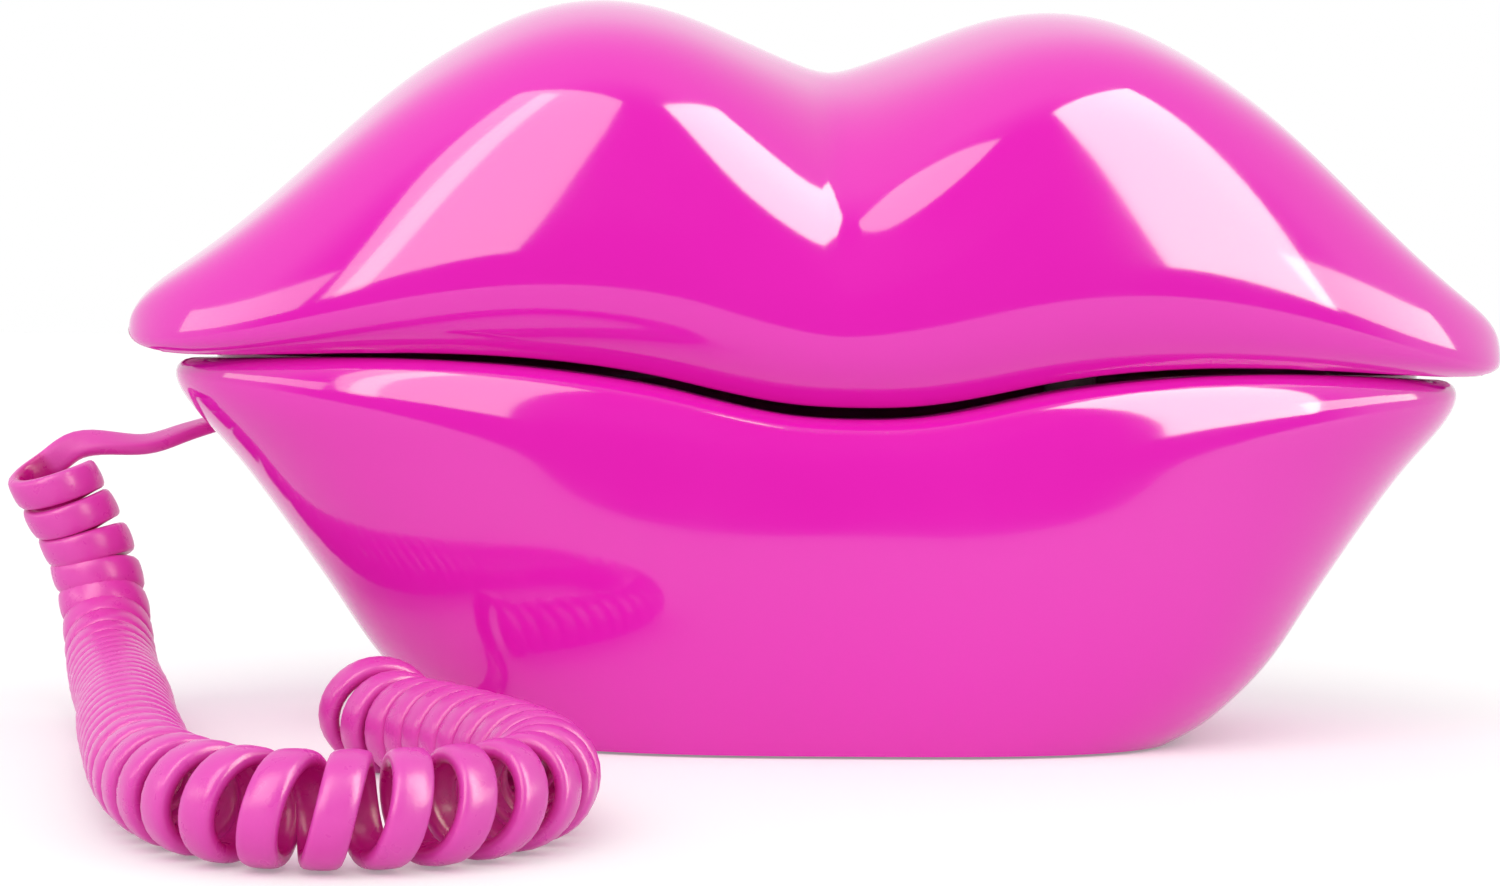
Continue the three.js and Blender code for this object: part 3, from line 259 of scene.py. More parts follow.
# The cord's section as shares of its half width and half thickness: a crowned outside, round edges
# and a flatter inside.
cord_section = [
    (-1, -0.2), (-1, 0.25), (-0.93, 0.6), (-0.76, 0.83), (-0.42, 0.96), (0, 1), (0.42, 0.96), (0.76, 0.83),
    (0.93, 0.6), (1, 0.25), (1, -0.2), (0.93, -0.62), (0.76, -0.86), (0.4, -0.92), (-0.4, -0.92),
    (-0.76, -0.86), (-0.93, -0.62),
]


def bridge(mesh, rings, closed=True):
    """Joins each row of points to the next by four-sided faces."""
    for ring, following in zip(rings, rings[1:]):
        for j in range(len(ring) if closed else len(ring) - 1):
            k = (j + 1) % len(ring)
            mesh.faces.new((ring[j], following[j], following[k], ring[k]))


cord_mesh = bmesh.new()
painted_curl_shade = cord_mesh.verts.layers.float.new("painted_curl_shade")
rings = []
for centre, way, out in zip(centres, ways, outward):
    wide = way.cross(out)
    rings.append([
        cord_mesh.verts.new(centre + wide * across * cord_width / 2 + out * up * cord_thickness / 2)
        for across, up in cord_section
    ])
bridge(cord_mesh, rings)
# The inner side of each curl gets a painted shade, from none a little outside the cord's middle to full near
# its inner face.
for ring in rings[first_ring:last_ring]:
    for vertex, (_, up) in zip(ring, cord_section):
        vertex[painted_curl_shade] = smooth_step(curl_shade_start, curl_shade_end, -up)
cord_mesh.faces.new(rings[0])
cord_mesh.faces.new(list(reversed(rings[-1])))
bmesh.ops.recalc_face_normals(cord_mesh, faces=cord_mesh.faces)
for face in cord_mesh.faces:
    face.smooth = len(face.verts) == 4
for vertex in cord_mesh.verts:
    vertex.co.z = max(vertex.co.z, cord_rest)


def add_piece(name, mesh):
    """Makes an object of a finished bmesh. Its place is in the mesh, so it stands at the origin."""
    data = bpy.data.meshes.new(name)
    mesh.to_mesh(data)
    mesh.free()
    piece = bpy.data.objects.new(name, data)
    bpy.context.scene.collection.objects.link(piece)
    return piece


curly_cord = add_piece("handset_cord", cord_mesh)


def start_material(name, colour, roughness):
    """A new material with its colour and roughness, and the place on the piece for its patterns."""
    material = bpy.data.materials.new(name)
    material.use_nodes = True
    tree = material.node_tree
    shader = tree.nodes["Principled BSDF"]
    shader.inputs["Base Color"].default_value = (*colour, 1)
    shader.inputs["Roughness"].default_value = roughness
    place = tree.nodes.new("ShaderNodeTexCoord").outputs["Object"]
    return material, tree, shader, place


def add_node(tree, kind, values=None, **settings):
    """A new shader node with its settings, and the values of its open inputs by name."""
    node = tree.nodes.new(kind)
    for name, value in settings.items():
        setattr(node, name, value)
    for name, value in (values or {}).items():
        node.inputs[name].default_value = value
    return node


def noise(tree, place, scale, detail):
    """A cloudy pattern from 0 to 1. The scale is in patches per metre."""
    node = add_node(tree, "ShaderNodeTexNoise", {"Scale": scale, "Detail": detail})
    tree.links.new(place, node.inputs["Vector"])
    return node.outputs["Fac"]


pattern_low, pattern_high = 0.3, 0.7


def vary_colour(tree, shader, pattern, low, high):
    """Lets the colour drift between two close shades."""
    ramp = add_node(tree, "ShaderNodeValToRGB")
    for element, position, shade in zip(ramp.color_ramp.elements, (pattern_low, pattern_high), (low, high)):
        element.position = position
        element.color = (*shade, 1)
    tree.links.new(pattern, ramp.inputs["Fac"])
    tree.links.new(ramp.outputs["Color"], shader.inputs["Base Color"])


def vary_roughness(tree, shader, pattern, low, high):
    """Lets the roughness drift between two values."""
    spread = add_node(tree, "ShaderNodeMapRange", {
        "From Min": pattern_low, "From Max": pattern_high, "To Min": low, "To Max": high,
    })
    tree.links.new(pattern, spread.inputs["Value"])
    tree.links.new(spread.outputs["Result"], shader.inputs["Roughness"])


def surface(name, colour, roughness, clouds, sheen, grain=None, more=None):
    """A material whose colour and roughness drift a little, with a grain and further values if given.

    The clouds give their patches per metre and two colours, the sheen its patches per metre, its detail
    and two roughnesses, and the grain its patches per metre, its detail and its depth in metres.
    """
    material, tree, shader, place = start_material(name, colour, roughness)
    for value_name, value in (more or {}).items():
        shader.inputs[value_name].default_value = value
    vary_colour(tree, shader, noise(tree, place, clouds[0], 3), *clouds[1:])
    vary_roughness(tree, shader, noise(tree, place, *sheen[:2]), *sheen[2:])
    if grain:
        bump = add_node(tree, "ShaderNodeBump", {"Distance": grain[2], "Strength": 1})
        tree.links.new(noise(tree, place, *grain[:2]), bump.inputs["Height"])
        tree.links.new(bump.outputs["Normal"], shader.inputs["Normal"])
    return material


def cord_vinyl():
    """Soft pink vinyl with a satin skin, faintly cloudy and finely grained. Painted shade darkens the inside
    of the curls.
    """
    material = surface(
        "cord_vinyl", (0.79, 0.06, 0.47), 0.3, (90, (0.775, 0.05, 0.45), (0.805, 0.07, 0.49)),
        (400, 3, 0.25, 0.36), (2600, 2, 0.00002),
    )
    tree = material.node_tree
    colour = tree.nodes["Principled BSDF"].inputs["Base Color"]
    # Painted shade: the colour is mixed towards a deep red on the curls' inner side, where the curls shade
    # themselves.
    depth = add_node(tree, "ShaderNodeAttribute", attribute_name="painted_curl_shade")
    painted_shade_mix = add_node(tree, "ShaderNodeMix", {"B": (0.62, 0.004, 0.26, 1)}, data_type="RGBA")
    tree.links.new(depth.outputs["Fac"], painted_shade_mix.inputs["Factor"])
    tree.links.new(colour.links[0].from_socket, painted_shade_mix.inputs["A"])
    tree.links.new(painted_shade_mix.outputs["Result"], colour)
    return material


curly_cord.data.materials.append(cord_vinyl())
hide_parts("handset_lead", "curly_cord", "base_lead")
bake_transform(curly_cord)

# The share of the handset's lift that each ring of the cord would follow is worked out here, but nothing uses
# it.
for place in ring_places:
    if place <= coil_start:
        share = 1.0
    elif place >= coil_end:
        share = 0.0
    else:
        share = 1 - smooth_step(0, lift_reach, axis_place_at(place))


# The handset shell: the upper lip, a glossy magenta moulding, hollow and open below. Two lobes meet at
# a notch, and the ends run out to rounded tips. It is drawn as cross sections along its length.
lip_half_length = 0.105
lip_half_depth = 0.045
crown_height = 0.1103
tip_height = 0.059
mouth_height = 0.0559
mouth_dip = 0.0069
corner_drop = 0.0009
mouth_gap = 0.0016
seam_gap = 0.0003
ridge_setback = 0.012
notch_round = 0.003
wall = 0.0024
crown_shares = curve_through([
    (0, 0.807), (0.1, 0.892), (0.2, 0.97), (0.295, 1), (0.4, 0.966), (0.5, 0.868), (0.6, 0.725), (0.7, 0.54),
    (0.8, 0.353), (0.9, 0.209), (1, 0.13),
])
dip_side = [
    (0, 1), (0.09, 0.94), (0.18, 0.71), (0.27, 0.42), (0.38, 0.18), (0.5, 0.04), (0.62, 0), (0.8, 0), (1, 0),
]
dip_shares = curve_through([(-place, value) for place, value in reversed(dip_side[1:])] + dip_side)
section_knots = [0, 0.04, 0.1, 0.222, 0.385, 0.578, 0.693, 0.803, 0.907, 0.962, 1]
bulge_shares = curve_through([(0, 0.3), (0.3, 0.28), (0.57, 0.25), (0.81, 0.2), (1, 0.18)])
crown_squareness = 2.4
rim_share = 0.86
groove_slope_share = 0.21
groove_round = 0.0012
groove_foot_reach = 0.02
groove_head_reach = 0.03
groove_foot_lift = 0.004
groove_head_lift = 0.034
groove_foot = mouth_height + groove_foot_lift
groove_head = mouth_height + groove_head_lift
groove_rise = 0.02
groove_shift = -0.0028
tip_squareness = 24
dip_end_share = 0.62
gap_end_share = 0.3
seam_start_share = 0.85
stations = 180
outer_steps, inner_steps = 96, 40
rim_round = 0.0005
rim_turn = 0.6


def mouth_level(x):
    return mouth_height - corner_drop * smooth_step(dip_end_share, 1, abs(x) / lip_half_length)


def front_dip(x):
    share = abs(x) / lip_half_length
    return mouth_dip * dip_shares(share) if share < dip_end_share else 0


def front_half_gap(x):
    closing = smooth_step(gap_end_share, seam_start_share, abs(x) / lip_half_length)
    return (mouth_gap * (1 - closing) + seam_gap * closing) / 2


def notch_groove(x, z):
    """How far the groove below the notch draws the front of the upper lip in."""
    growth = (groove_head_reach - groove_foot_reach) / (groove_head - groove_foot)
    reach = groove_foot_reach + max(0, z - groove_foot) * growth
    soft_place = (hypot(x - groove_shift, groove_round) - groove_round) / reach
    depth = groove_slope_share * reach * smooth_step(groove_foot, groove_foot + groove_rise, z)
    return depth * max(0, 1 - soft_place) ** 2


def upper_section(x, inset, steps):
    """The upper lip's skin at x, from its front rim over the ridge to its back rim."""
    reach = lip_half_length - inset
    nose = sqrt(max(0, 1 - abs(x / reach) ** tip_squareness))
    plan = sqrt(max(0, 1 - (x / reach) ** 2))
    soft_place = (hypot(x, notch_round) - notch_round) / lip_half_length
    crown_rise = (crown_height - tip_height) * crown_shares(soft_place) - inset
    top = tip_height + nose * crown_rise
    front_rim = tip_height - nose * (tip_height - mouth_level(x) + front_dip(x) - front_half_gap(x))
    back_rim = tip_height - nose * (tip_height - mouth_level(x) - seam_gap / 2)
    ridge = ridge_setback * plan
    out = plan * (lip_half_depth - inset)
    rim = plan * (lip_half_depth * rim_share - inset)

    def side(sign, rim_height):
        bulge = rim_height + bulge_shares(abs(x) / lip_half_length) * (top - rim_height)
        half = sqrt(0.5)
        power = 2 / crown_squareness
        return [
            (sign * rim, rim_height),
            (sign * (rim + (out - rim) * half), bulge - (bulge - rim_height) * half),
            (sign * out, bulge),
            *[
                (
                    ridge + (sign * out - ridge) * cos(angle) ** power,
                    bulge + (top - bulge) * sin(angle) ** power,
                )
                for angle in (pi / 6, pi / 3)
            ],
        ]

    front = [(y + notch_groove(x, z), z) for y, z in side(-1, front_rim)]
    knots = [*front, (ridge, top), *reversed(side(1, back_rim))]
    across = curve_through([(section_knots[i], y) for i, (y, _) in enumerate(knots)])
    upward = curve_through([(section_knots[i], z) for i, (_, z) in enumerate(knots)])
    return [Vector((x, across(i / steps), upward(i / steps))) for i in range(steps + 1)]


def upper_skin(mesh, inset, steps):
    """Adds one skin of the upper lip to a mesh, and returns the points of its rim, all round."""
    reach = lip_half_length - inset
    left = mesh.verts.new((-reach, 0, tip_height))
    rows = []
    for i in range(1, stations):
        x = reach * sin(pi * (i / stations - 0.5))
        rows.append([mesh.verts.new(point) for point in upper_section(x, inset, steps)])
    right = mesh.verts.new((reach, 0, tip_height))
    bridge(mesh, rows, closed=False)
    for j in range(steps):
        mesh.faces.new((left, rows[0][j], rows[0][j + 1]))
        mesh.faces.new((right, rows[-1][j + 1], rows[-1][j]))
    return [left, *[row[0] for row in rows], right, *[row[-1] for row in reversed(rows)]]


upper_mesh = bmesh.new()
outer_rim = upper_skin(upper_mesh, 0, outer_steps)
inner_rim = upper_skin(upper_mesh, wall, inner_steps)
bridge(upper_mesh, [outer_rim, inner_rim])
bmesh.ops.recalc_face_normals(upper_mesh, faces=upper_mesh.faces)
rim_corners = set(outer_rim)
rim_edges = [
    edge for edge in upper_mesh.edges
    if rim_corners.issuperset(edge.verts) and abs(edge.calc_face_angle()) > rim_turn
]
bmesh.ops.bevel(upper_mesh, geom=rim_edges, offset=rim_round, segments=3, affect="EDGES", profile=0.5)
handset_shell = add_piece("handset_shell_moulding", upper_mesh)


def lip_gloss():
    """High gloss magenta plastic, with faint clouds in its colour and the slight waves of a moulding."""
    return surface(
        "lip_gloss", (0.83, 0.011, 0.5), 0.09, (14, (0.82, 0.01, 0.49), (0.84, 0.012, 0.51)),
        (60, 3, 0.07, 0.11), (45, 1, 0.00004), {"Coat Weight": 0.35, "Coat Roughness": 0.04},
    )


lip_gloss_material = lip_gloss()


def finish_piece(piece, node, slot, body, *materials):
    """Gives a piece its materials, hides the built part that it stands for, and hangs it on the body that it
    moves with.
    """
    for material in materials:
        piece.data.materials.append(material)
    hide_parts(node)
    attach(piece, body)


finish_piece(handset_shell, "handset_shell", "lip_gloss", "handset", lip_gloss_material)


# The window at the back of the handset: a small opening with rounded corners, moulded in the shell, through
# which the cord's plug clicks into its jack.
def shape_edges(piece, offset, segments, chosen=lambda a, b: True):
    """Rounds the edges that the test picks by their two ends, in edit mode, or all of them."""
    bpy.context.view_layer.objects.active = piece
    bpy.ops.object.mode_set(mode="EDIT")
    bpy.ops.mesh.select_mode(type="EDGE")
    bpy.ops.mesh.select_all(action="DESELECT")
    shape = bmesh.from_edit_mesh(piece.data)
    for edge in shape.edges:
        edge.select_set(chosen(edge.verts[0].co, edge.verts[1].co))
    bmesh.update_edit_mesh(piece.data)
    bpy.ops.mesh.bevel(offset=offset, segments=segments, affect="EDGES")
    bpy.ops.object.mode_set(mode="OBJECT")


def block(name, low, high):
    """A box between two corners, with its place in its mesh."""
    low, high = Vector(low), Vector(high)
    bpy.ops.object.select_all(action="DESELECT")
    bpy.ops.mesh.primitive_cube_add(size=1, location=(low + high) / 2)
    piece = bpy.context.object
    piece.name = name
    piece.scale = high - low
    bpy.ops.object.transform_apply(location=True, rotation=True, scale=True)
    return piece


def rod(name, radius, x, y, low, high, sides=48):
    """An upright cylinder between two heights, with its place in its mesh."""
    bpy.ops.object.select_all(action="DESELECT")
    bpy.ops.mesh.primitive_cylinder_add(
        vertices=sides, radius=radius, depth=high - low, location=(x, y, (low + high) / 2),
    )
    piece = bpy.context.object
    piece.name = name
    bpy.ops.object.transform_apply(location=True, rotation=True, scale=True)
    return piece


def join(pieces):
    if len(pieces) == 1:
        return pieces[0]
    bpy.ops.object.select_all(action="DESELECT")
    for piece in pieces:
        piece.select_set(True)
    bpy.context.view_layer.objects.active = pieces[0]
    bpy.ops.object.join()
    return pieces[0]


def cut(piece, cutters):
    """Cuts the cutters out of a piece, and drops them."""
    cutter = join(cutters)
    bpy.context.view_layer.objects.active = piece
    modifier = piece.modifiers.new("opening", "BOOLEAN")
    modifier.operation = "DIFFERENCE"
    modifier.solver = "EXACT"
    modifier.object = cutter
    bpy.ops.object.modifier_apply(modifier=modifier.name)
    bpy.data.objects.remove(cutter, do_unlink=True)


def soften(piece, degrees):
    """Smooth shading, but for the edges that turn by more than an angle."""
    bpy.ops.object.select_all(action="DESELECT")
    piece.select_set(True)
    bpy.context.view_layer.objects.active = piece
    bpy.ops.object.shade_smooth_by_angle(angle=radians(degrees))


def rear_window(x, z, width, height, front, back):
    """The cutter of a window in a shell's back, with rounded corners."""
    cutter = block("window", (x - width / 2, front, z - height / 2), (x + width / 2, back, z + height / 2))
    shape_edges(cutter, window_corner, 4, lambda a, b: abs(a.y - b.y) > window_corner)
    return cutter


window_corner = 0.0009
shell_crease, small_crease, round_crease = 32, 40, 35
window_margin = 0.0006
handset_window_front = 0.0262
plug_size = plug_high - plug_low
cut(handset_shell, [rear_window(
    plug_middle.x, plug_middle.z, plug_size.x + 2 * window_margin, plug_size.z + 2 * window_margin,
    handset_window_front, lip_half_depth + wall,
)])
soften(handset_shell, shell_crease)


# The faceplate: the handset's flat inner face, of satin pink plastic, screwed up into the shell. It has
# the holes of the keys, the switch slot, the sound holes and four sunk screw seats.
def plan_point(turn, reach_x, reach_y, squareness):
    power = 2 / squareness
    across = cos(turn)
    along = sin(turn)
    return (
        reach_x * copysign(abs(across) ** power, across),
        reach_y * copysign(abs(along) ** power, along),
    )


def even_turns(count, reach_x, reach_y, squareness):
    """The turns that space the points of an outline evenly."""
    fine = 1440
    corners = [plan_point(2 * pi * i / fine, reach_x, reach_y, squareness) for i in range(fine + 1)]
    passed = [0.0]
    for (x0, y0), (x1, y1) in zip(corners, corners[1:]):
        passed.append(passed[-1] + hypot(x1 - x0, y1 - y0))
    turns = []
    at = 0
    for i in range(count):
        wanted = passed[-1] * i / count
        while passed[at + 1] < wanted:
            at += 1
        part = (wanted - passed[at]) / (passed[at + 1] - passed[at])
        turns.append(2 * pi * (at + part) / fine)
    return turns


def loft(name, loops):
    """A closed body through loops with the same count of points, capped at both ends."""
    mesh = bmesh.new()
    rings = [[mesh.verts.new(point) for point in loop] for loop in loops]
    bridge(mesh, rings)
    mesh.faces.new(rings[0])
    mesh.faces.new(list(reversed(rings[-1])))
    bmesh.ops.recalc_face_normals(mesh, faces=mesh.faces)
    return add_piece(name, mesh)


def panel(name, reach_x, reach_y, low, high, squareness, edge, sides=200):
    """A flat plate with rounded edges. Its outline is that of a lip's section."""
    turns = even_turns(sides, reach_x, reach_y, squareness)
    turned = [pi / 2 * i / edge_steps for i in range(edge_steps + 1)]
    levels = [(low + edge * (1 - sin(t)), edge * (1 - cos(t))) for t in reversed(turned)]
    levels += [(high - edge * (1 - sin(t)), edge * (1 - cos(t))) for t in turned]
    return loft(name, [
        [(*plan_point(turn, reach_x - inset, reach_y - inset, squareness), level) for turn in turns]
        for level, inset in levels
    ])


def rounded_loop(x, y, half_x, half_y, corner, level, steps=5):
    """A level rectangle with round corners."""
    loop = []
    for quarter, (sign_x, sign_y) in enumerate([(1, 1), (-1, 1), (-1, -1), (1, -1)]):
        for i in range(steps + 1):
            turn = pi / 2 * (quarter + i / steps)
            loop.append((
                x + sign_x * (half_x - corner) + corner * cos(turn),
                y + sign_y * (half_y - corner) + corner * sin(turn),
                level,
            ))
    return loop


def middle_of(name):
    low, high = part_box(name)
    return (low + high) / 2


face_low, face_high = 0.0572, 0.0596
face_edge = 0.0004
face_squareness = 2
edge_steps = 4
past = 0.002
key_gap = 0.0003
key_flange = 0.0008
key_corner = 0.002
seat_radius, seat_depth = 0.0033, 0.0017
seat_sides, sound_hole_sides = 40, 24
corner_numbers = range(1, 5)
key_names = ["key_" + digit for digit in "123456789"]
key_names += ["key_star", "key_0", "key_hash", "key_flash", "key_redial", "key_mute"]
_, face_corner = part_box("handset_faceplate")
faceplate = panel(
    "handset_faceplate_moulding", face_corner.x, face_corner.y, face_low, face_high, face_squareness,
    face_edge,
)
holes = []
for name in key_names:
    low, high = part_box(name)
    centre = (low + high) / 2
    half = (high - low) / 2
    holes.append(loft("hole", [
        rounded_loop(
            centre.x, centre.y, half.x - key_flange + key_gap, half.y - key_flange + key_gap,
            key_corner + key_gap, level,
        )
        for level in (face_low - past, face_high + past)
    ]))
knob_low, knob_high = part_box("tone_switch_knob")
slot_half_x = (knob_high.x - knob_low.x) / 2 + key_gap
slot_half_y = 0.0043
slot_x = (knob_low.x + knob_high.x) / 2
holes.append(block("slot", (slot_x - slot_half_x, -slot_half_y, face_low - past), (
    slot_x + slot_half_x, slot_half_y, face_high + past,
)))
ear_x, ear_hole, ear_circle = 0.064, 0.0012, 0.008
microphone_x, microphone_hole, microphone_step = -0.078, 0.0008, 0.0026
ear_ring_holes = 6
sound_holes = [(ear_x, 0, ear_hole)]
for i in range(ear_ring_holes):
    turn = 2 * pi * i / ear_ring_holes
    sound_holes.append((ear_x + ear_circle * cos(turn), ear_circle * sin(turn), ear_hole))
for side in (-1, 0, 1):
    sound_holes.append((microphone_x + side * microphone_step, 0, microphone_hole))
for x, y, radius in sound_holes:
    holes.append(rod("hole", radius, x, y, face_low - past, face_high + past, sound_hole_sides))
for i in corner_numbers:
    x, y, _ = middle_of(f"handset_screw_{i}")
    holes.append(rod("seat", seat_radius, x, y, face_low - past, face_low + seat_depth, seat_sides))
cut(faceplate, holes)
soften(faceplate, shell_crease)


def satin_pink():
    """The same pink plastic with a fine satin skin, as on faces that aren't polished."""
    return surface(
        "satin_pink", (0.72, 0.012, 0.4), 0.32, (20, (0.7, 0.01, 0.385), (0.74, 0.014, 0.415)),
        (300, 3, 0.28, 0.37), (3500, 2, 0.00001),
    )


satin_pink_material = satin_pink()
finish_piece(faceplate, "handset_faceplate", "inner_pink", "handset", satin_pink_material)


# The keys: fifteen caps of pale satin plastic, each with a flange that keeps it behind the plate. Twelve
# have a number or sign printed on the face. One is modelled and the others are copies of it.
ink_depth = 0.00002


def printed_sign(sign, centre, level, height):
    """A flat printed sign that faces down, with its top to the earpiece's end."""
    bpy.ops.object.select_all(action="DESELECT")
    bpy.ops.object.text_add()
    words = bpy.context.object
    words.data.body = sign
    words.data.align_x = "CENTER"
    words.data.align_y = "CENTER"
    words.data.size = height
    words.data.extrude = ink_depth
    bpy.ops.object.convert(target="MESH")
    words = bpy.context.object
    middle = Vector([
        (min(v.co[axis] for v in words.data.vertices) + max(v.co[axis] for v in words.data.vertices)) / 2
        for axis in range(3)
    ])
    words.data.transform(Matrix.Translation(-middle))
    facing_down = Matrix(((0, 1, 0), (1, 0, 0), (0, 0, -1))).to_4x4()
    words.data.transform(Matrix.Translation((centre.x, centre.y, level)) @ facing_down)
    return words


def key_plastic():
    """Pale pinkish plastic with a satin skin."""
    return surface(
        "key_plastic", (0.86, 0.74, 0.8), 0.3, (60, (0.85, 0.73, 0.79), (0.87, 0.75, 0.81)),
        (500, 3, 0.26, 0.34), (4000, 2, 0.000006),
    )


def key_ink():
    """Dark printed ink, a little uneven."""
    return surface(
        "key_ink", (0.03, 0.008, 0.02), 0.4, (900, (0.025, 0.006, 0.017), (0.04, 0.012, 0.028)),
        (700, 3, 0.35, 0.5),
    )


def copy_piece(source, name, shift):
    """A copy of a piece with a mesh of its own, which is moved within the mesh."""
    twin = source.copy()
    twin.data = source.data.copy()
    twin.name = name
    bpy.context.scene.collection.objects.link(twin)
    twin.data.transform(Matrix.Translation(shift))
    return twin


ink_sink = 0.0001
key_corner_steps = 7
key_least_corner = 0.0006
# The rounding of a key's face, as pairs of an inset and a height above the face.
key_rounding = [
    (0.0011, 0.00012), (0.00075, 0), (0.0004, 0.00006), (0.00016, 0.0002), (0.00003, 0.00042), (0, 0.0007),
]
sign_height = 0.0068
key_signs = {"key_star": "*", "key_hash": "#"}
for digit in "0123456789":
    key_signs["key_" + digit] = digit
key_low, key_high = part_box("key_5")
key_middle = (key_low + key_high) / 2
cap_x = (key_high.x - key_low.x) / 2 - key_flange
cap_y = (key_high.y - key_low.y) / 2 - key_flange
flange_low = 0.0599
key_levels = [(inset, key_low.z + rise) for inset, rise in key_rounding]
key_levels += [(0, flange_low), (-key_flange, flange_low), (-key_flange, key_high.z)]
first_key = loft("dial_key", [
    rounded_loop(
        key_middle.x, key_middle.y, cap_x - inset, cap_y - inset, max(key_least_corner, key_corner - inset),
        level, key_corner_steps,
    )
    for inset, level in key_levels
])
soften(first_key, small_crease)
key_material = key_plastic()
ink_material = key_ink()
first_key.data.materials.append(key_material)
for name in key_names:
    cap = copy_piece(first_key, name + "_cap", middle_of(name) - key_middle)
    if name in key_signs:
        sign = printed_sign(key_signs[name], middle_of(name), key_low.z + ink_sink, sign_height)
        sign.data.materials.append(ink_material)
        join([cap, sign])
    finish_piece(cap, name, "key_plastic", name)
bpy.data.objects.remove(first_key, do_unlink=True)


# The tone switch's knob: a small ribbed slide of the keys' plastic. It sits in its slot in the faceplate,
# on the switch behind it.
groove_depth_share = 0.7
knob_ribs = 3
knob_corner = 0.0003


def ribbed_knob(name, low, high, along, out, ribs, corner=knob_corner):
    """A slide knob with grooves across its outer face, cut across the way it slides."""
    piece = block(name, low, high)
    shape_edges(piece, corner, 3)
    groove_width = (high[along] - low[along]) / (2 * ribs + 1)
    groove_depth = groove_width * groove_depth_share
    face = low[out[0]] if out[1] < 0 else high[out[0]]
    cutters = []
    for i in range(ribs):
        groove_low = [value - past for value in low]
        groove_high = [value + past for value in high]
        groove_low[along] = low[along] + groove_width * (2 * i + 1)
        groove_high[along] = groove_low[along] + groove_width
        if out[1] < 0:
            groove_high[out[0]] = face + groove_depth
        else:
            groove_low[out[0]] = face - groove_depth
        cutters.append(block("groove", groove_low, groove_high))
    cut(piece, cutters)
    soften(piece, small_crease)
    return piece


tone_knob = ribbed_knob("tone_slide_knob", knob_low, knob_high, 1, (2, -1), knob_ribs)
finish_piece(tone_knob, "tone_switch_knob", "key_plastic", "tone_knob", key_material)


# The screws: eight zinc-plated pan heads with a cross recess, driven upward. Four hold the faceplate and
# four hold the base plate. One is modelled and the others are copies of it.
def bright_zinc():
    """Zinc-plated steel, brushed a little, with a drifting sheen."""
    return surface(
        "bright_zinc", (0.48, 0.49, 0.5), 0.3, (350, (0.44, 0.45, 0.46), (0.52, 0.53, 0.53)),
        (1500, 5, 0.24, 0.4), (5000, 2, 0.000008), {"Metallic": 1},
    )


zinc_material = bright_zinc()
screw_low, screw_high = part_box("handset_screw_1")
head_height, head_radius = 0.0011, (screw_high.x - screw_low.x) / 2
shank_radius = 0.0013
cross_reach, cross_half_width, cross_depth = 0.0017, 0.00038, 0.0008
head_round = 0.00066
shank_overlap = 0.0002
screw_x, screw_y, _ = middle_of("handset_screw_1")
level_slack = 0.00001
head = rod("screw_head", head_radius, screw_x, screw_y, screw_low.z, screw_low.z + head_height)
shape_edges(head, head_round, 4, lambda a, b: max(a.z, b.z) < screw_low.z + level_slack)
cross = [
    block("cross", (screw_x - half_x, screw_y - half_y, screw_low.z - past), (
        screw_x + half_x, screw_y + half_y, screw_low.z + cross_depth,
    ))
    for half_x, half_y in ((cross_reach, cross_half_width), (cross_half_width, cross_reach))
]
for arm in cross:
    cut(head, [arm])
shank = rod(
    "shank", shank_radius, screw_x, screw_y, screw_low.z + head_height - shank_overlap, screw_high.z, 24,
)
first_screw = join([head, shank])
soften(first_screw, round_crease)
for prefix, body in (("handset_screw_", "handset"), ("base_screw_", "base")):
    for i in corner_numbers:
        driven = copy_piece(first_screw, f"{prefix}{i}_zinc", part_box(f"{prefix}{i}")[0] - screw_low)
        finish_piece(driven, f"{prefix}{i}", "steel", body, zinc_material)
bpy.data.objects.remove(first_screw, do_unlink=True)


# The cord's two plugs: small clear blocks with a latch and four gilt contacts, one for each jack. One is
# modelled and the other is a copy of it.
def clear_plastic():
    """Clear polycarbonate, faintly grey and faintly wavy."""
    return surface(
        "clear_plastic", (0.93, 0.95, 0.96), 0.06, (200, (0.9, 0.93, 0.94), (0.95, 0.96, 0.97)),
        (700, 3, 0.05, 0.1), more={"Transmission Weight": 0.85, "IOR": 1.45},
    )


def gilt():
    """Gold-plated contact metal."""
    return surface(
        "gilt", (0.85, 0.58, 0.2), 0.22, (900, (0.8, 0.53, 0.17), (0.88, 0.62, 0.24)),
        (1800, 3, 0.18, 0.3), more={"Metallic": 1},
    )


clear_material = clear_plastic()
gilt_material = gilt()
plug_round, latch_round = 0.0005, 0.0002
latch_half_width, latch_drop, latch_bite = 0.0016, 0.0006, 0.0002
latch_start, latch_back = 0.002, 0.007
contact_step, contact_half_width = 0.00125, 0.00022
contact_start, contact_length, contact_depth, contact_proud = 0.0005, 0.006, 0.0006, 0.00005
contact_shifts = [contact_step * (i - 1.5) for i in range(4)]
first_plug = block("plug_body", plug_low, plug_high)
shape_edges(first_plug, plug_round, 3)
latch = block(
    "latch", (plug_middle.x - latch_half_width, plug_low.y + latch_start, plug_low.z - latch_drop),
    (plug_middle.x + latch_half_width, plug_high.y - latch_back, plug_low.z + latch_bite),
)
shape_edges(latch, latch_round, 2)
contacts = []
for shift in contact_shifts:
    x = plug_middle.x + shift
    contacts.append(block(
        "contact", (x - contact_half_width, plug_low.y + contact_start, plug_high.z - contact_depth),
        (x + contact_half_width, plug_low.y + contact_length, plug_high.z + contact_proud),
    ))
for contact in contacts:
    contact.data.materials.append(gilt_material)
first_plug.data.materials.append(clear_material)
latch.data.materials.append(clear_material)
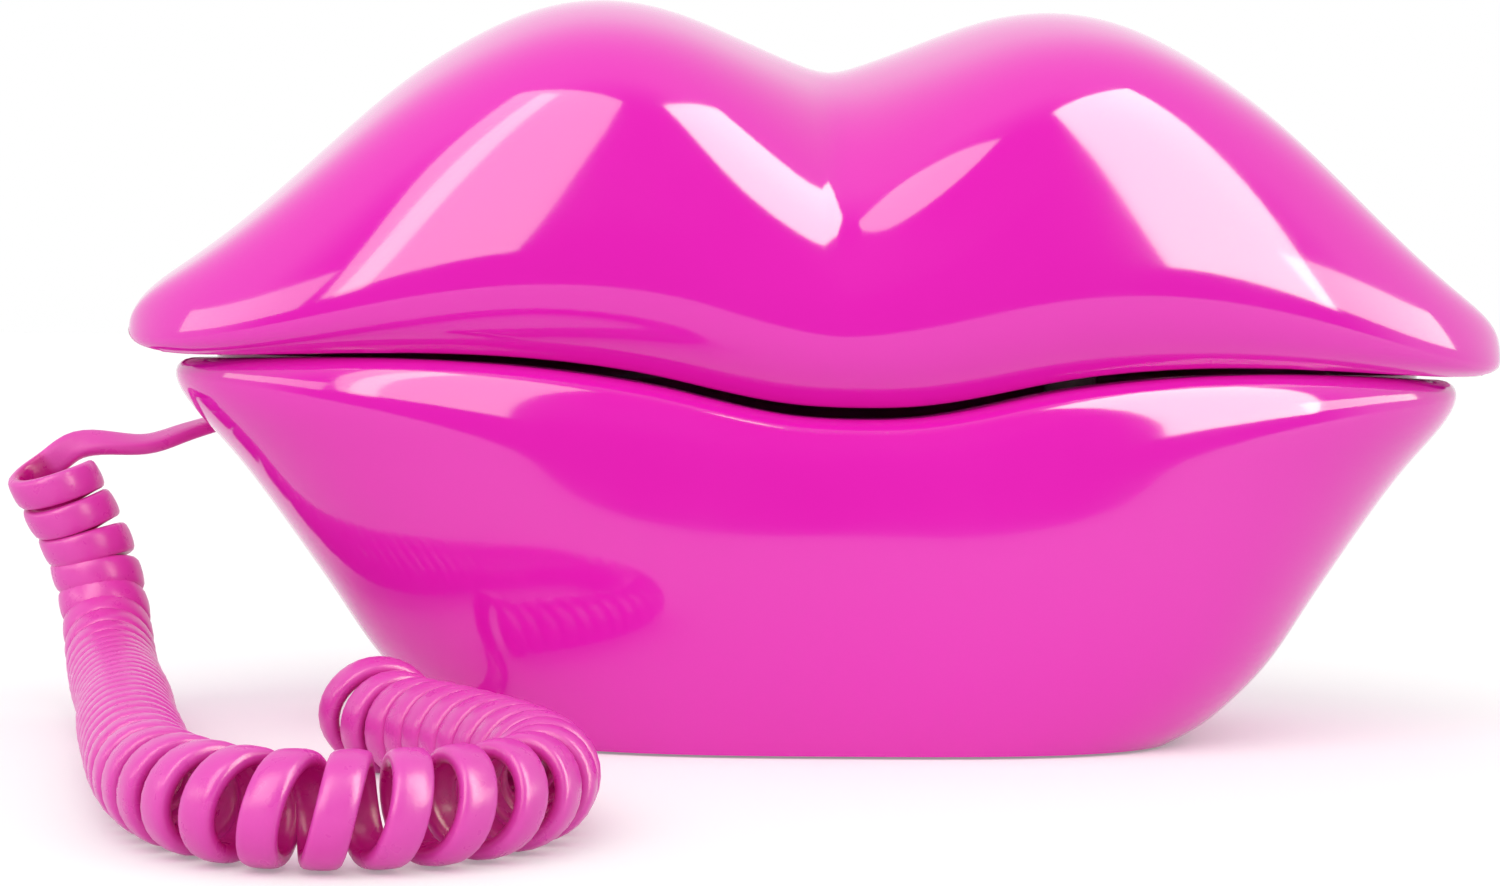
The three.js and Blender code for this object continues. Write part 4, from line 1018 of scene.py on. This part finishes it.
handset_plug = join([first_plug, latch, *contacts])
handset_plug.name = "handset_plug_clear"
soften(handset_plug, small_crease)
base_plug = copy_piece(handset_plug, "base_plug_clear", base_plug_low - plug_low)
finish_piece(handset_plug, "handset_plug", "plug_plastic", "handset")
finish_piece(base_plug, "base_plug", "plug_plastic", "base")


# The base shell: the lower lip, of the same glossy moulding, open above and below. Its front rim follows
# the handset's, and a thin lip stands up inside the rim at the back. It is drawn as level loops.
base_half_length = 0.0984
base_half_depth = 0.0435
foot_gap = 0.0004
flank_shares = curve_through([
    (0, 0.54), (0.03, 0.573), (0.086, 0.616), (0.165, 0.664), (0.36, 0.747), (0.5, 0.803), (0.638, 0.86),
    (0.777, 0.924), (0.879, 0.98), (1, 1.046),
])
belly_shares = curve_through([
    (0, 0.875), (0.1, 0.92), (0.25, 0.965), (0.45, 0.993), (0.6, 1), (0.75, 1), (0.9, 0.995), (1, 0.99),
])
squareness_at = curve_through([(0, 3), (0.3, 2.7), (0.6, 2.4), (1, 2.1)])
roll_start = 0.76
roll_end_share = 0.08
roll_front_share = 0.1
lip_height, lip_least, lip_fade_share = 0.0009, 0.00002, -0.6
lip_outer_inset, lip_inner_inset = 0.00275, 0.0035
sides = 240
flank_steps, roll_steps, lining_steps = 32, 14, 16


def lower_loop(level, inset, sides):
    """The lower lip's outline at a level, which is a share of the height of the rim."""
    roll = max(0, (level - roll_start) / (1 - roll_start))
    turn_in = 1 - sqrt(max(0, 1 - roll**3))
    reach_x = base_half_length * flank_shares(level) * (1 - roll_end_share * turn_in) - inset
    reach_y = base_half_depth * belly_shares(level) * (1 - roll_front_share * turn_in) - inset
    squareness = squareness_at(level)
    loop = []
    for turn in even_turns(sides, reach_x, reach_y, squareness):
        x, y = plan_point(turn, reach_x, reach_y, squareness)
        rim_x, _ = plan_point(turn, base_half_length, base_half_depth, squareness_at(1))
        if sin(turn) < 0:
            rim = mouth_level(rim_x) - front_dip(rim_x) - front_half_gap(rim_x)
        else:
            rim = mouth_level(rim_x) - seam_gap / 2
        loop.append(Vector((x, y, foot_gap + (rim - foot_gap) * level)))
    return loop


outer_levels = [roll_start * i / flank_steps for i in range(flank_steps + 1)]
outer_levels += [
    roll_start + (1 - roll_start) * sin(pi / 2 * i / roll_steps) for i in range(1, roll_steps + 1)
]
inner_levels = [i / lining_steps for i in range(lining_steps)]


def lip_loop(inset):
    """The top of the raised lip inside the rim, which is highest at the back and sinks away in front."""
    loop = lower_loop(1, inset, sides)
    for point in loop:
        point.z += lip_least + lip_height * smooth_step(lip_fade_share, 0, point.y / base_half_depth)
    return loop


skin = [lower_loop(level, 0, sides) for level in outer_levels]
skin += [lower_loop(1, lip_outer_inset, sides), lip_loop(lip_outer_inset), lip_loop(lip_inner_inset)]
skin += [lower_loop(1, lip_inner_inset, sides)]
skin += [lower_loop(level, wall, sides) for level in reversed(inner_levels)]
lower_mesh = bmesh.new()
loops = [[lower_mesh.verts.new(point) for point in loop] for loop in skin]
bridge(lower_mesh, [*loops, loops[0]])
bmesh.ops.recalc_face_normals(lower_mesh, faces=lower_mesh.faces)
base_shell = add_piece("base_shell_moulding", lower_mesh)
finish_piece(base_shell, "base_shell", "lip_gloss", "base", lip_gloss_material)


# The windows at the back of the base: one for the cord's plug, one for the line jack and a slot for the
# ringer switch's knob, moulded in the shell.
line_low, line_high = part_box("line_jack")
line_x = (line_low.x + line_high.x) / 2
ringer_low, ringer_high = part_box("ringer_switch_knob")
ringer_z = (ringer_low.z + ringer_high.z) / 2
plug_window_width, line_window_width, plug_window_height = 0.0088, 0.0104, 0.0076
ringer_window_width, ringer_window_height = 0.0086, 0.004
base_window_front = 0.031
window_back = base_half_depth + wall
cut(base_shell, [
    rear_window(x, z, width, height, base_window_front, window_back)
    for x, z, width, height in (
        (base_plug_middle.x, base_plug_middle.z, plug_window_width, plug_window_height),
        (line_x, base_plug_middle.z, line_window_width, plug_window_height),
        (0, ringer_z, ringer_window_width, ringer_window_height),
    )
])
soften(base_shell, shell_crease)


# The tray: the inner floor of the base, of satin pink plastic, on which the handset lies. The hook
# button comes up through a round hole in it.
_, tray_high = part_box("base_tray")
hook_low, hook_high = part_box("hook_button")
hook_x = (hook_low.x + hook_high.x) / 2
tray_thickness = 0.0024
tray_squareness = 2.1
hook_hole = 0.0043
tray = panel(
    "base_tray_moulding", tray_high.x, tray_high.y, tray_high.z - tray_thickness, tray_high.z,
    tray_squareness, face_edge,
)
cut(tray, [rod("hole", hook_hole, hook_x, 0, tray_high.z - tray_thickness - past, tray_high.z + past)])
soften(tray, shell_crease)
finish_piece(tray, "base_tray", "inner_pink", "base", satin_pink_material)


# The hook button: a pale round pin with a domed top and a flange at its foot. A spring lifts it, and the
# handset's weight holds it down.
hook_radius, hook_flange_height = 0.004, 0.0015
hook_dome, hook_flange_round = 0.0011, 0.0003
shaft = rod("hook_button_pin", hook_radius, hook_x, 0, hook_low.z, hook_high.z)
shape_edges(shaft, hook_dome, 5, lambda a, b: min(a.z, b.z) > hook_high.z - level_slack)
flange_top = hook_low.z + hook_flange_height
collar = rod("collar", (hook_high.x - hook_low.x) / 2, hook_x, 0, hook_low.z, flange_top)
shape_edges(collar, hook_flange_round, 2, lambda a, b: min(a.z, b.z) > flange_top - level_slack)
hook_button = join([shaft, collar])
soften(hook_button, round_crease)
finish_piece(hook_button, "hook_button", "key_plastic", "hook", key_material)


# The base plate: the bottom cover, of black plastic with a fine grain, screwed up into the posts of the
# tray. It has four sunk screw seats and four round seats for the feet.
def black_plastic():
    """Black plastic with a fine spark grain."""
    return surface(
        "black_plastic", (0.02, 0.02, 0.023), 0.5, (60, (0.017, 0.017, 0.02), (0.024, 0.024, 0.027)),
        (500, 3, 0.42, 0.58), (2600, 2, 0.00004),
    )


black_material = black_plastic()
plate_low, plate_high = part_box("base_plate")
plate_top = 0.0034
plate_squareness = 3
foot_low, foot_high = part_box("rubber_foot_1")
foot_radius = (foot_high.x - foot_low.x) / 2
base_plate = panel(
    "base_plate_cover", plate_high.x, plate_high.y, plate_low.z, plate_top, plate_squareness, face_edge,
)
seats = []
for i in corner_numbers:
    x, y, _ = middle_of(f"rubber_foot_{i}")
    seats.append(rod("seat", foot_radius + key_gap, x, y, 0, foot_high.z + key_gap))
    x, y, _ = middle_of(f"base_screw_{i}")
    seats.append(rod("seat", seat_radius, x, y, 0, plate_low.z + seat_depth))
cut(base_plate, seats)
soften(base_plate, shell_crease)
finish_piece(base_plate, "base_plate", "dark_plastic", "base", black_material)


# The feet: four round pads of black rubber, pressed into their seats. One is modelled and the others are
# copies of it.
def black_rubber():
    """Matt black rubber, a little dusty."""
    return surface(
        "black_rubber", (0.016, 0.016, 0.017), 0.75, (300, (0.012, 0.012, 0.013), (0.026, 0.026, 0.027)),
        (700, 3, 0.68, 0.85), (1800, 4, 0.00006),
    )


rubber_material = black_rubber()
foot_round = 0.0006
foot_x, foot_y, _ = middle_of("rubber_foot_1")
first_foot = rod("foot", foot_radius, foot_x, foot_y, foot_low.z, foot_high.z)
shape_edges(first_foot, foot_round, 4, lambda a, b: max(a.z, b.z) < foot_low.z + level_slack)
soften(first_foot, small_crease)
for i in corner_numbers:
    foot = copy_piece(first_foot, f"rubber_foot_{i}_pad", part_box(f"rubber_foot_{i}")[0] - foot_low)
    finish_piece(foot, f"rubber_foot_{i}", "black_rubber", "base", rubber_material)
bpy.data.objects.remove(first_foot, do_unlink=True)


# The ringer switch's knob: a small ribbed slide of black plastic, made like the tone switch's. It sits in
# the slot at the back of the base.
ringer_knob = ribbed_knob("ringer_slide_knob", ringer_low, ringer_high, 0, (1, 1), knob_ribs)
finish_piece(ringer_knob, "ringer_switch_knob", "dark_plastic", "ringer_knob", black_material)


# The line jack's contacts: four gilt wires that slope through the socket, moulded into the jack. The line
# cord isn't in the photograph, so the socket is empty.
wire_radius, wire_sides, wire_length, wire_slope = 0.00022, 10, 0.0075, 62
wire_back, wire_rise = 0.0065, 0.0016
wires = []
for shift in contact_shifts:
    bpy.ops.object.select_all(action="DESELECT")
    bpy.ops.mesh.primitive_cylinder_add(
        vertices=wire_sides, radius=wire_radius, depth=wire_length,
        location=(line_x + shift, line_high.y - wire_back, base_plug_middle.z + wire_rise),
        rotation=(radians(wire_slope), 0, 0),
    )
    wires.append(bpy.context.object)
    bpy.ops.object.transform_apply(location=True, rotation=True, scale=True)
line_contacts = join(wires)
line_contacts.name = "line_jack_contacts"
soften(line_contacts, small_crease)
line_contacts.data.materials.append(gilt_material)
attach(line_contacts, "base")


# The pieces inside, which only show when the telephone is opened: circuit boards, switches, jacks, mat,
# earpiece, microphone, buzzer and the steel weight. They keep their built shapes.
def circuit_board():
    """Green solder mask with lighter tracks under it."""
    material, tree, shader, place = start_material("circuit_board", (0.015, 0.15, 0.05), 0.35)
    tracks = add_node(tree, "ShaderNodeTexBrick", {
        "Scale": 260, "Mortar Size": 0.06, "Color1": (0.012, 0.12, 0.04, 1), "Color2": (0.015, 0.15, 0.05, 1),
        "Mortar": (0.05, 0.27, 0.1, 1),
    })
    tree.links.new(place, tracks.inputs["Vector"])
    tree.links.new(tracks.outputs["Color"], shader.inputs["Base Color"])
    vary_roughness(tree, shader, noise(tree, place, 500, 3), 0.28, 0.42)
    return material


board_material = circuit_board()
inner_finish = [
    (rubber_material, ("keypad_mat", "receiver_gasket", "microphone_boot")),
    (board_material, ("handset_board", "base_board")),
    (zinc_material, ("microphone_capsule", "base_ballast")),
    (black_material, (
        "earpiece_receiver", "tone_switch_body", "handset_jack", "hook_switch", "cord_jack", "line_jack",
        "ringer_buzzer", "ringer_switch_body",
    )),
]
for material, names in inner_finish:
    for name in names:
        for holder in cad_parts[name].material_slots:
            holder.material = material


# The floor: a plain pale surface, which looks white to the camera and in reflections. A little glow
# helps it, and fades out towards the floor's front edge, which the photograph's view leaves out.
floor_size = 12
floor_front = -0.5
glow_front = -0.17
glow_strength = 0.25


def pale_floor():
    """A matt white surface with faint clouds, which glows a little for the camera and in reflections."""
    material, tree, shader, place = start_material("pale_floor", (0.8, 0.8, 0.8), 0.9)
    vary_colour(tree, shader, noise(tree, place, 3, 3), (0.79, 0.79, 0.79), (0.81, 0.81, 0.81))
    glow = add_node(tree, "ShaderNodeEmission")
    sees = add_node(tree, "ShaderNodeLightPath")
    apart = add_node(tree, "ShaderNodeSeparateXYZ")
    fade = add_node(
        tree, "ShaderNodeMapRange", {"From Min": floor_front, "From Max": glow_front},
        interpolation_type="SMOOTHSTEP",
    )
    seen = add_node(tree, "ShaderNodeMath", operation="MULTIPLY")
    both = add_node(tree, "ShaderNodeMath", operation="MAXIMUM")
    share = add_node(tree, "ShaderNodeMath", operation="MULTIPLY")
    share.inputs[1].default_value = glow_strength
    add = add_node(tree, "ShaderNodeAddShader")
    link = tree.links.new
    link(place, apart.inputs["Vector"])
    link(apart.outputs["Y"], fade.inputs["Value"])
    link(fade.outputs["Result"], seen.inputs[0])
    link(sees.outputs["Is Camera Ray"], seen.inputs[1])
    link(seen.outputs["Value"], both.inputs[0])
    link(sees.outputs["Is Glossy Ray"], both.inputs[1])
    link(both.outputs["Value"], share.inputs[0])
    link(share.outputs["Value"], glow.inputs["Strength"])
    link(shader.outputs["BSDF"], add.inputs[0])
    link(glow.outputs["Emission"], add.inputs[1])
    link(add.outputs["Shader"], tree.nodes["Material Output"].inputs["Surface"])
    return material


bpy.ops.mesh.primitive_plane_add(size=floor_size, location=(0, floor_front + floor_size / 2, 0))
floor = bpy.context.object
floor.name = "floor"
bpy.ops.object.transform_apply(location=True, rotation=True, scale=True)
floor.data.materials.append(pale_floor())


# The studio: white for the camera, and light grey towards the front. The object mirrors a dark room in
# front of it, white walls at its sides and behind, and the softboxes. An even sky and a broad sun give
# its light.
room_low, room_high = -0.55, -0.15
room_dark = 0.1
sky_strength = 0.76
backdrop_low, backdrop_high = -0.6, -0.2
backdrop_grey = 0.78
world = bpy.data.worlds.new("studio")
bpy.context.scene.world = world
world.use_nodes = True
sky = world.node_tree
background = sky.nodes["Background"]
background.inputs["Color"].default_value = (1, 1, 1, 1)
sight = add_node(sky, "ShaderNodeLightPath")
way = add_node(sky, "ShaderNodeTexCoord")
apart = add_node(sky, "ShaderNodeSeparateXYZ")
room = add_node(
    sky, "ShaderNodeMapRange",
    {"From Min": room_low, "From Max": room_high, "To Min": room_dark, "To Max": 1},
    interpolation_type="SMOOTHSTEP",
)
backdrop = add_node(
    sky, "ShaderNodeMapRange",
    {"From Min": backdrop_low, "From Max": backdrop_high, "To Min": backdrop_grey, "To Max": 1},
    interpolation_type="SMOOTHSTEP",
)
mirrored = add_node(sky, "ShaderNodeMix", {"A": sky_strength})
seen = add_node(sky, "ShaderNodeMix")
link = sky.links.new
link(way.outputs["Generated"], apart.inputs["Vector"])
link(apart.outputs["Y"], room.inputs["Value"])
link(sight.outputs["Is Glossy Ray"], mirrored.inputs["Factor"])
link(room.outputs["Result"], mirrored.inputs["B"])
link(sight.outputs["Is Camera Ray"], seen.inputs["Factor"])
link(apart.outputs["Y"], backdrop.inputs["Value"])
link(backdrop.outputs["Result"], seen.inputs["B"])
link(mirrored.outputs["Result"], seen.inputs["A"])
link(seen.outputs["Result"], background.inputs["Strength"])
lips_middle = Vector((0, 0, 0.07))
lamp_colour = (0.75, 1, 0.62)
lamp_distance = 1.3
sun_across, sun_up, sun_spread = -20, 45, 60


def way_to(across, up):
    """The direction at an angle to the right of the front, and an angle above level, in degrees."""
    turn, rise = radians(across), radians(up)
    return Vector((sin(turn) * cos(rise), -cos(turn) * cos(rise), sin(rise)))


def softbox(name, across, up, width, height, watts, distance=lamp_distance):
    """A rectangular lamp that faces the lips. It shows in gloss and adds no light of its own."""
    place = lips_middle + way_to(across, up) * distance
    bpy.ops.object.light_add(type="AREA", location=place)
    lamp = bpy.context.object
    lamp.name = name
    lamp.data.shape = "RECTANGLE"
    lamp.data.size = width
    lamp.data.size_y = height
    lamp.data.energy = watts
    lamp.data.color = lamp_colour
    lamp.rotation_euler = (lips_middle - place).to_track_quat("-Z", "Y").to_euler()
    lamp.visible_diffuse = False


softbox("left_softbox", -40, 36, 0.72, 1.35, 14)
softbox("left_strip", -49, 34, 0.13, 1.3, 2.6, 1.28)
softbox("left_low_softbox", -76, 13, 0.85, 0.28, 2.4)
softbox("right_softbox", 48.5, 36, 0.66, 1.5, 36)
softbox("right_low_softbox", 77, 13, 0.85, 0.26, 4)
bpy.ops.object.light_add(type="SUN", rotation=way_to(sun_across, sun_up).to_track_quat("Z", "Y").to_euler())
sun = bpy.context.object
sun.name = "broad_sun"
sun.data.energy = 1.08
sun.data.angle = radians(sun_spread)
sun.visible_glossy = False

bpy.context.scene.view_settings.view_transform = "Standard"
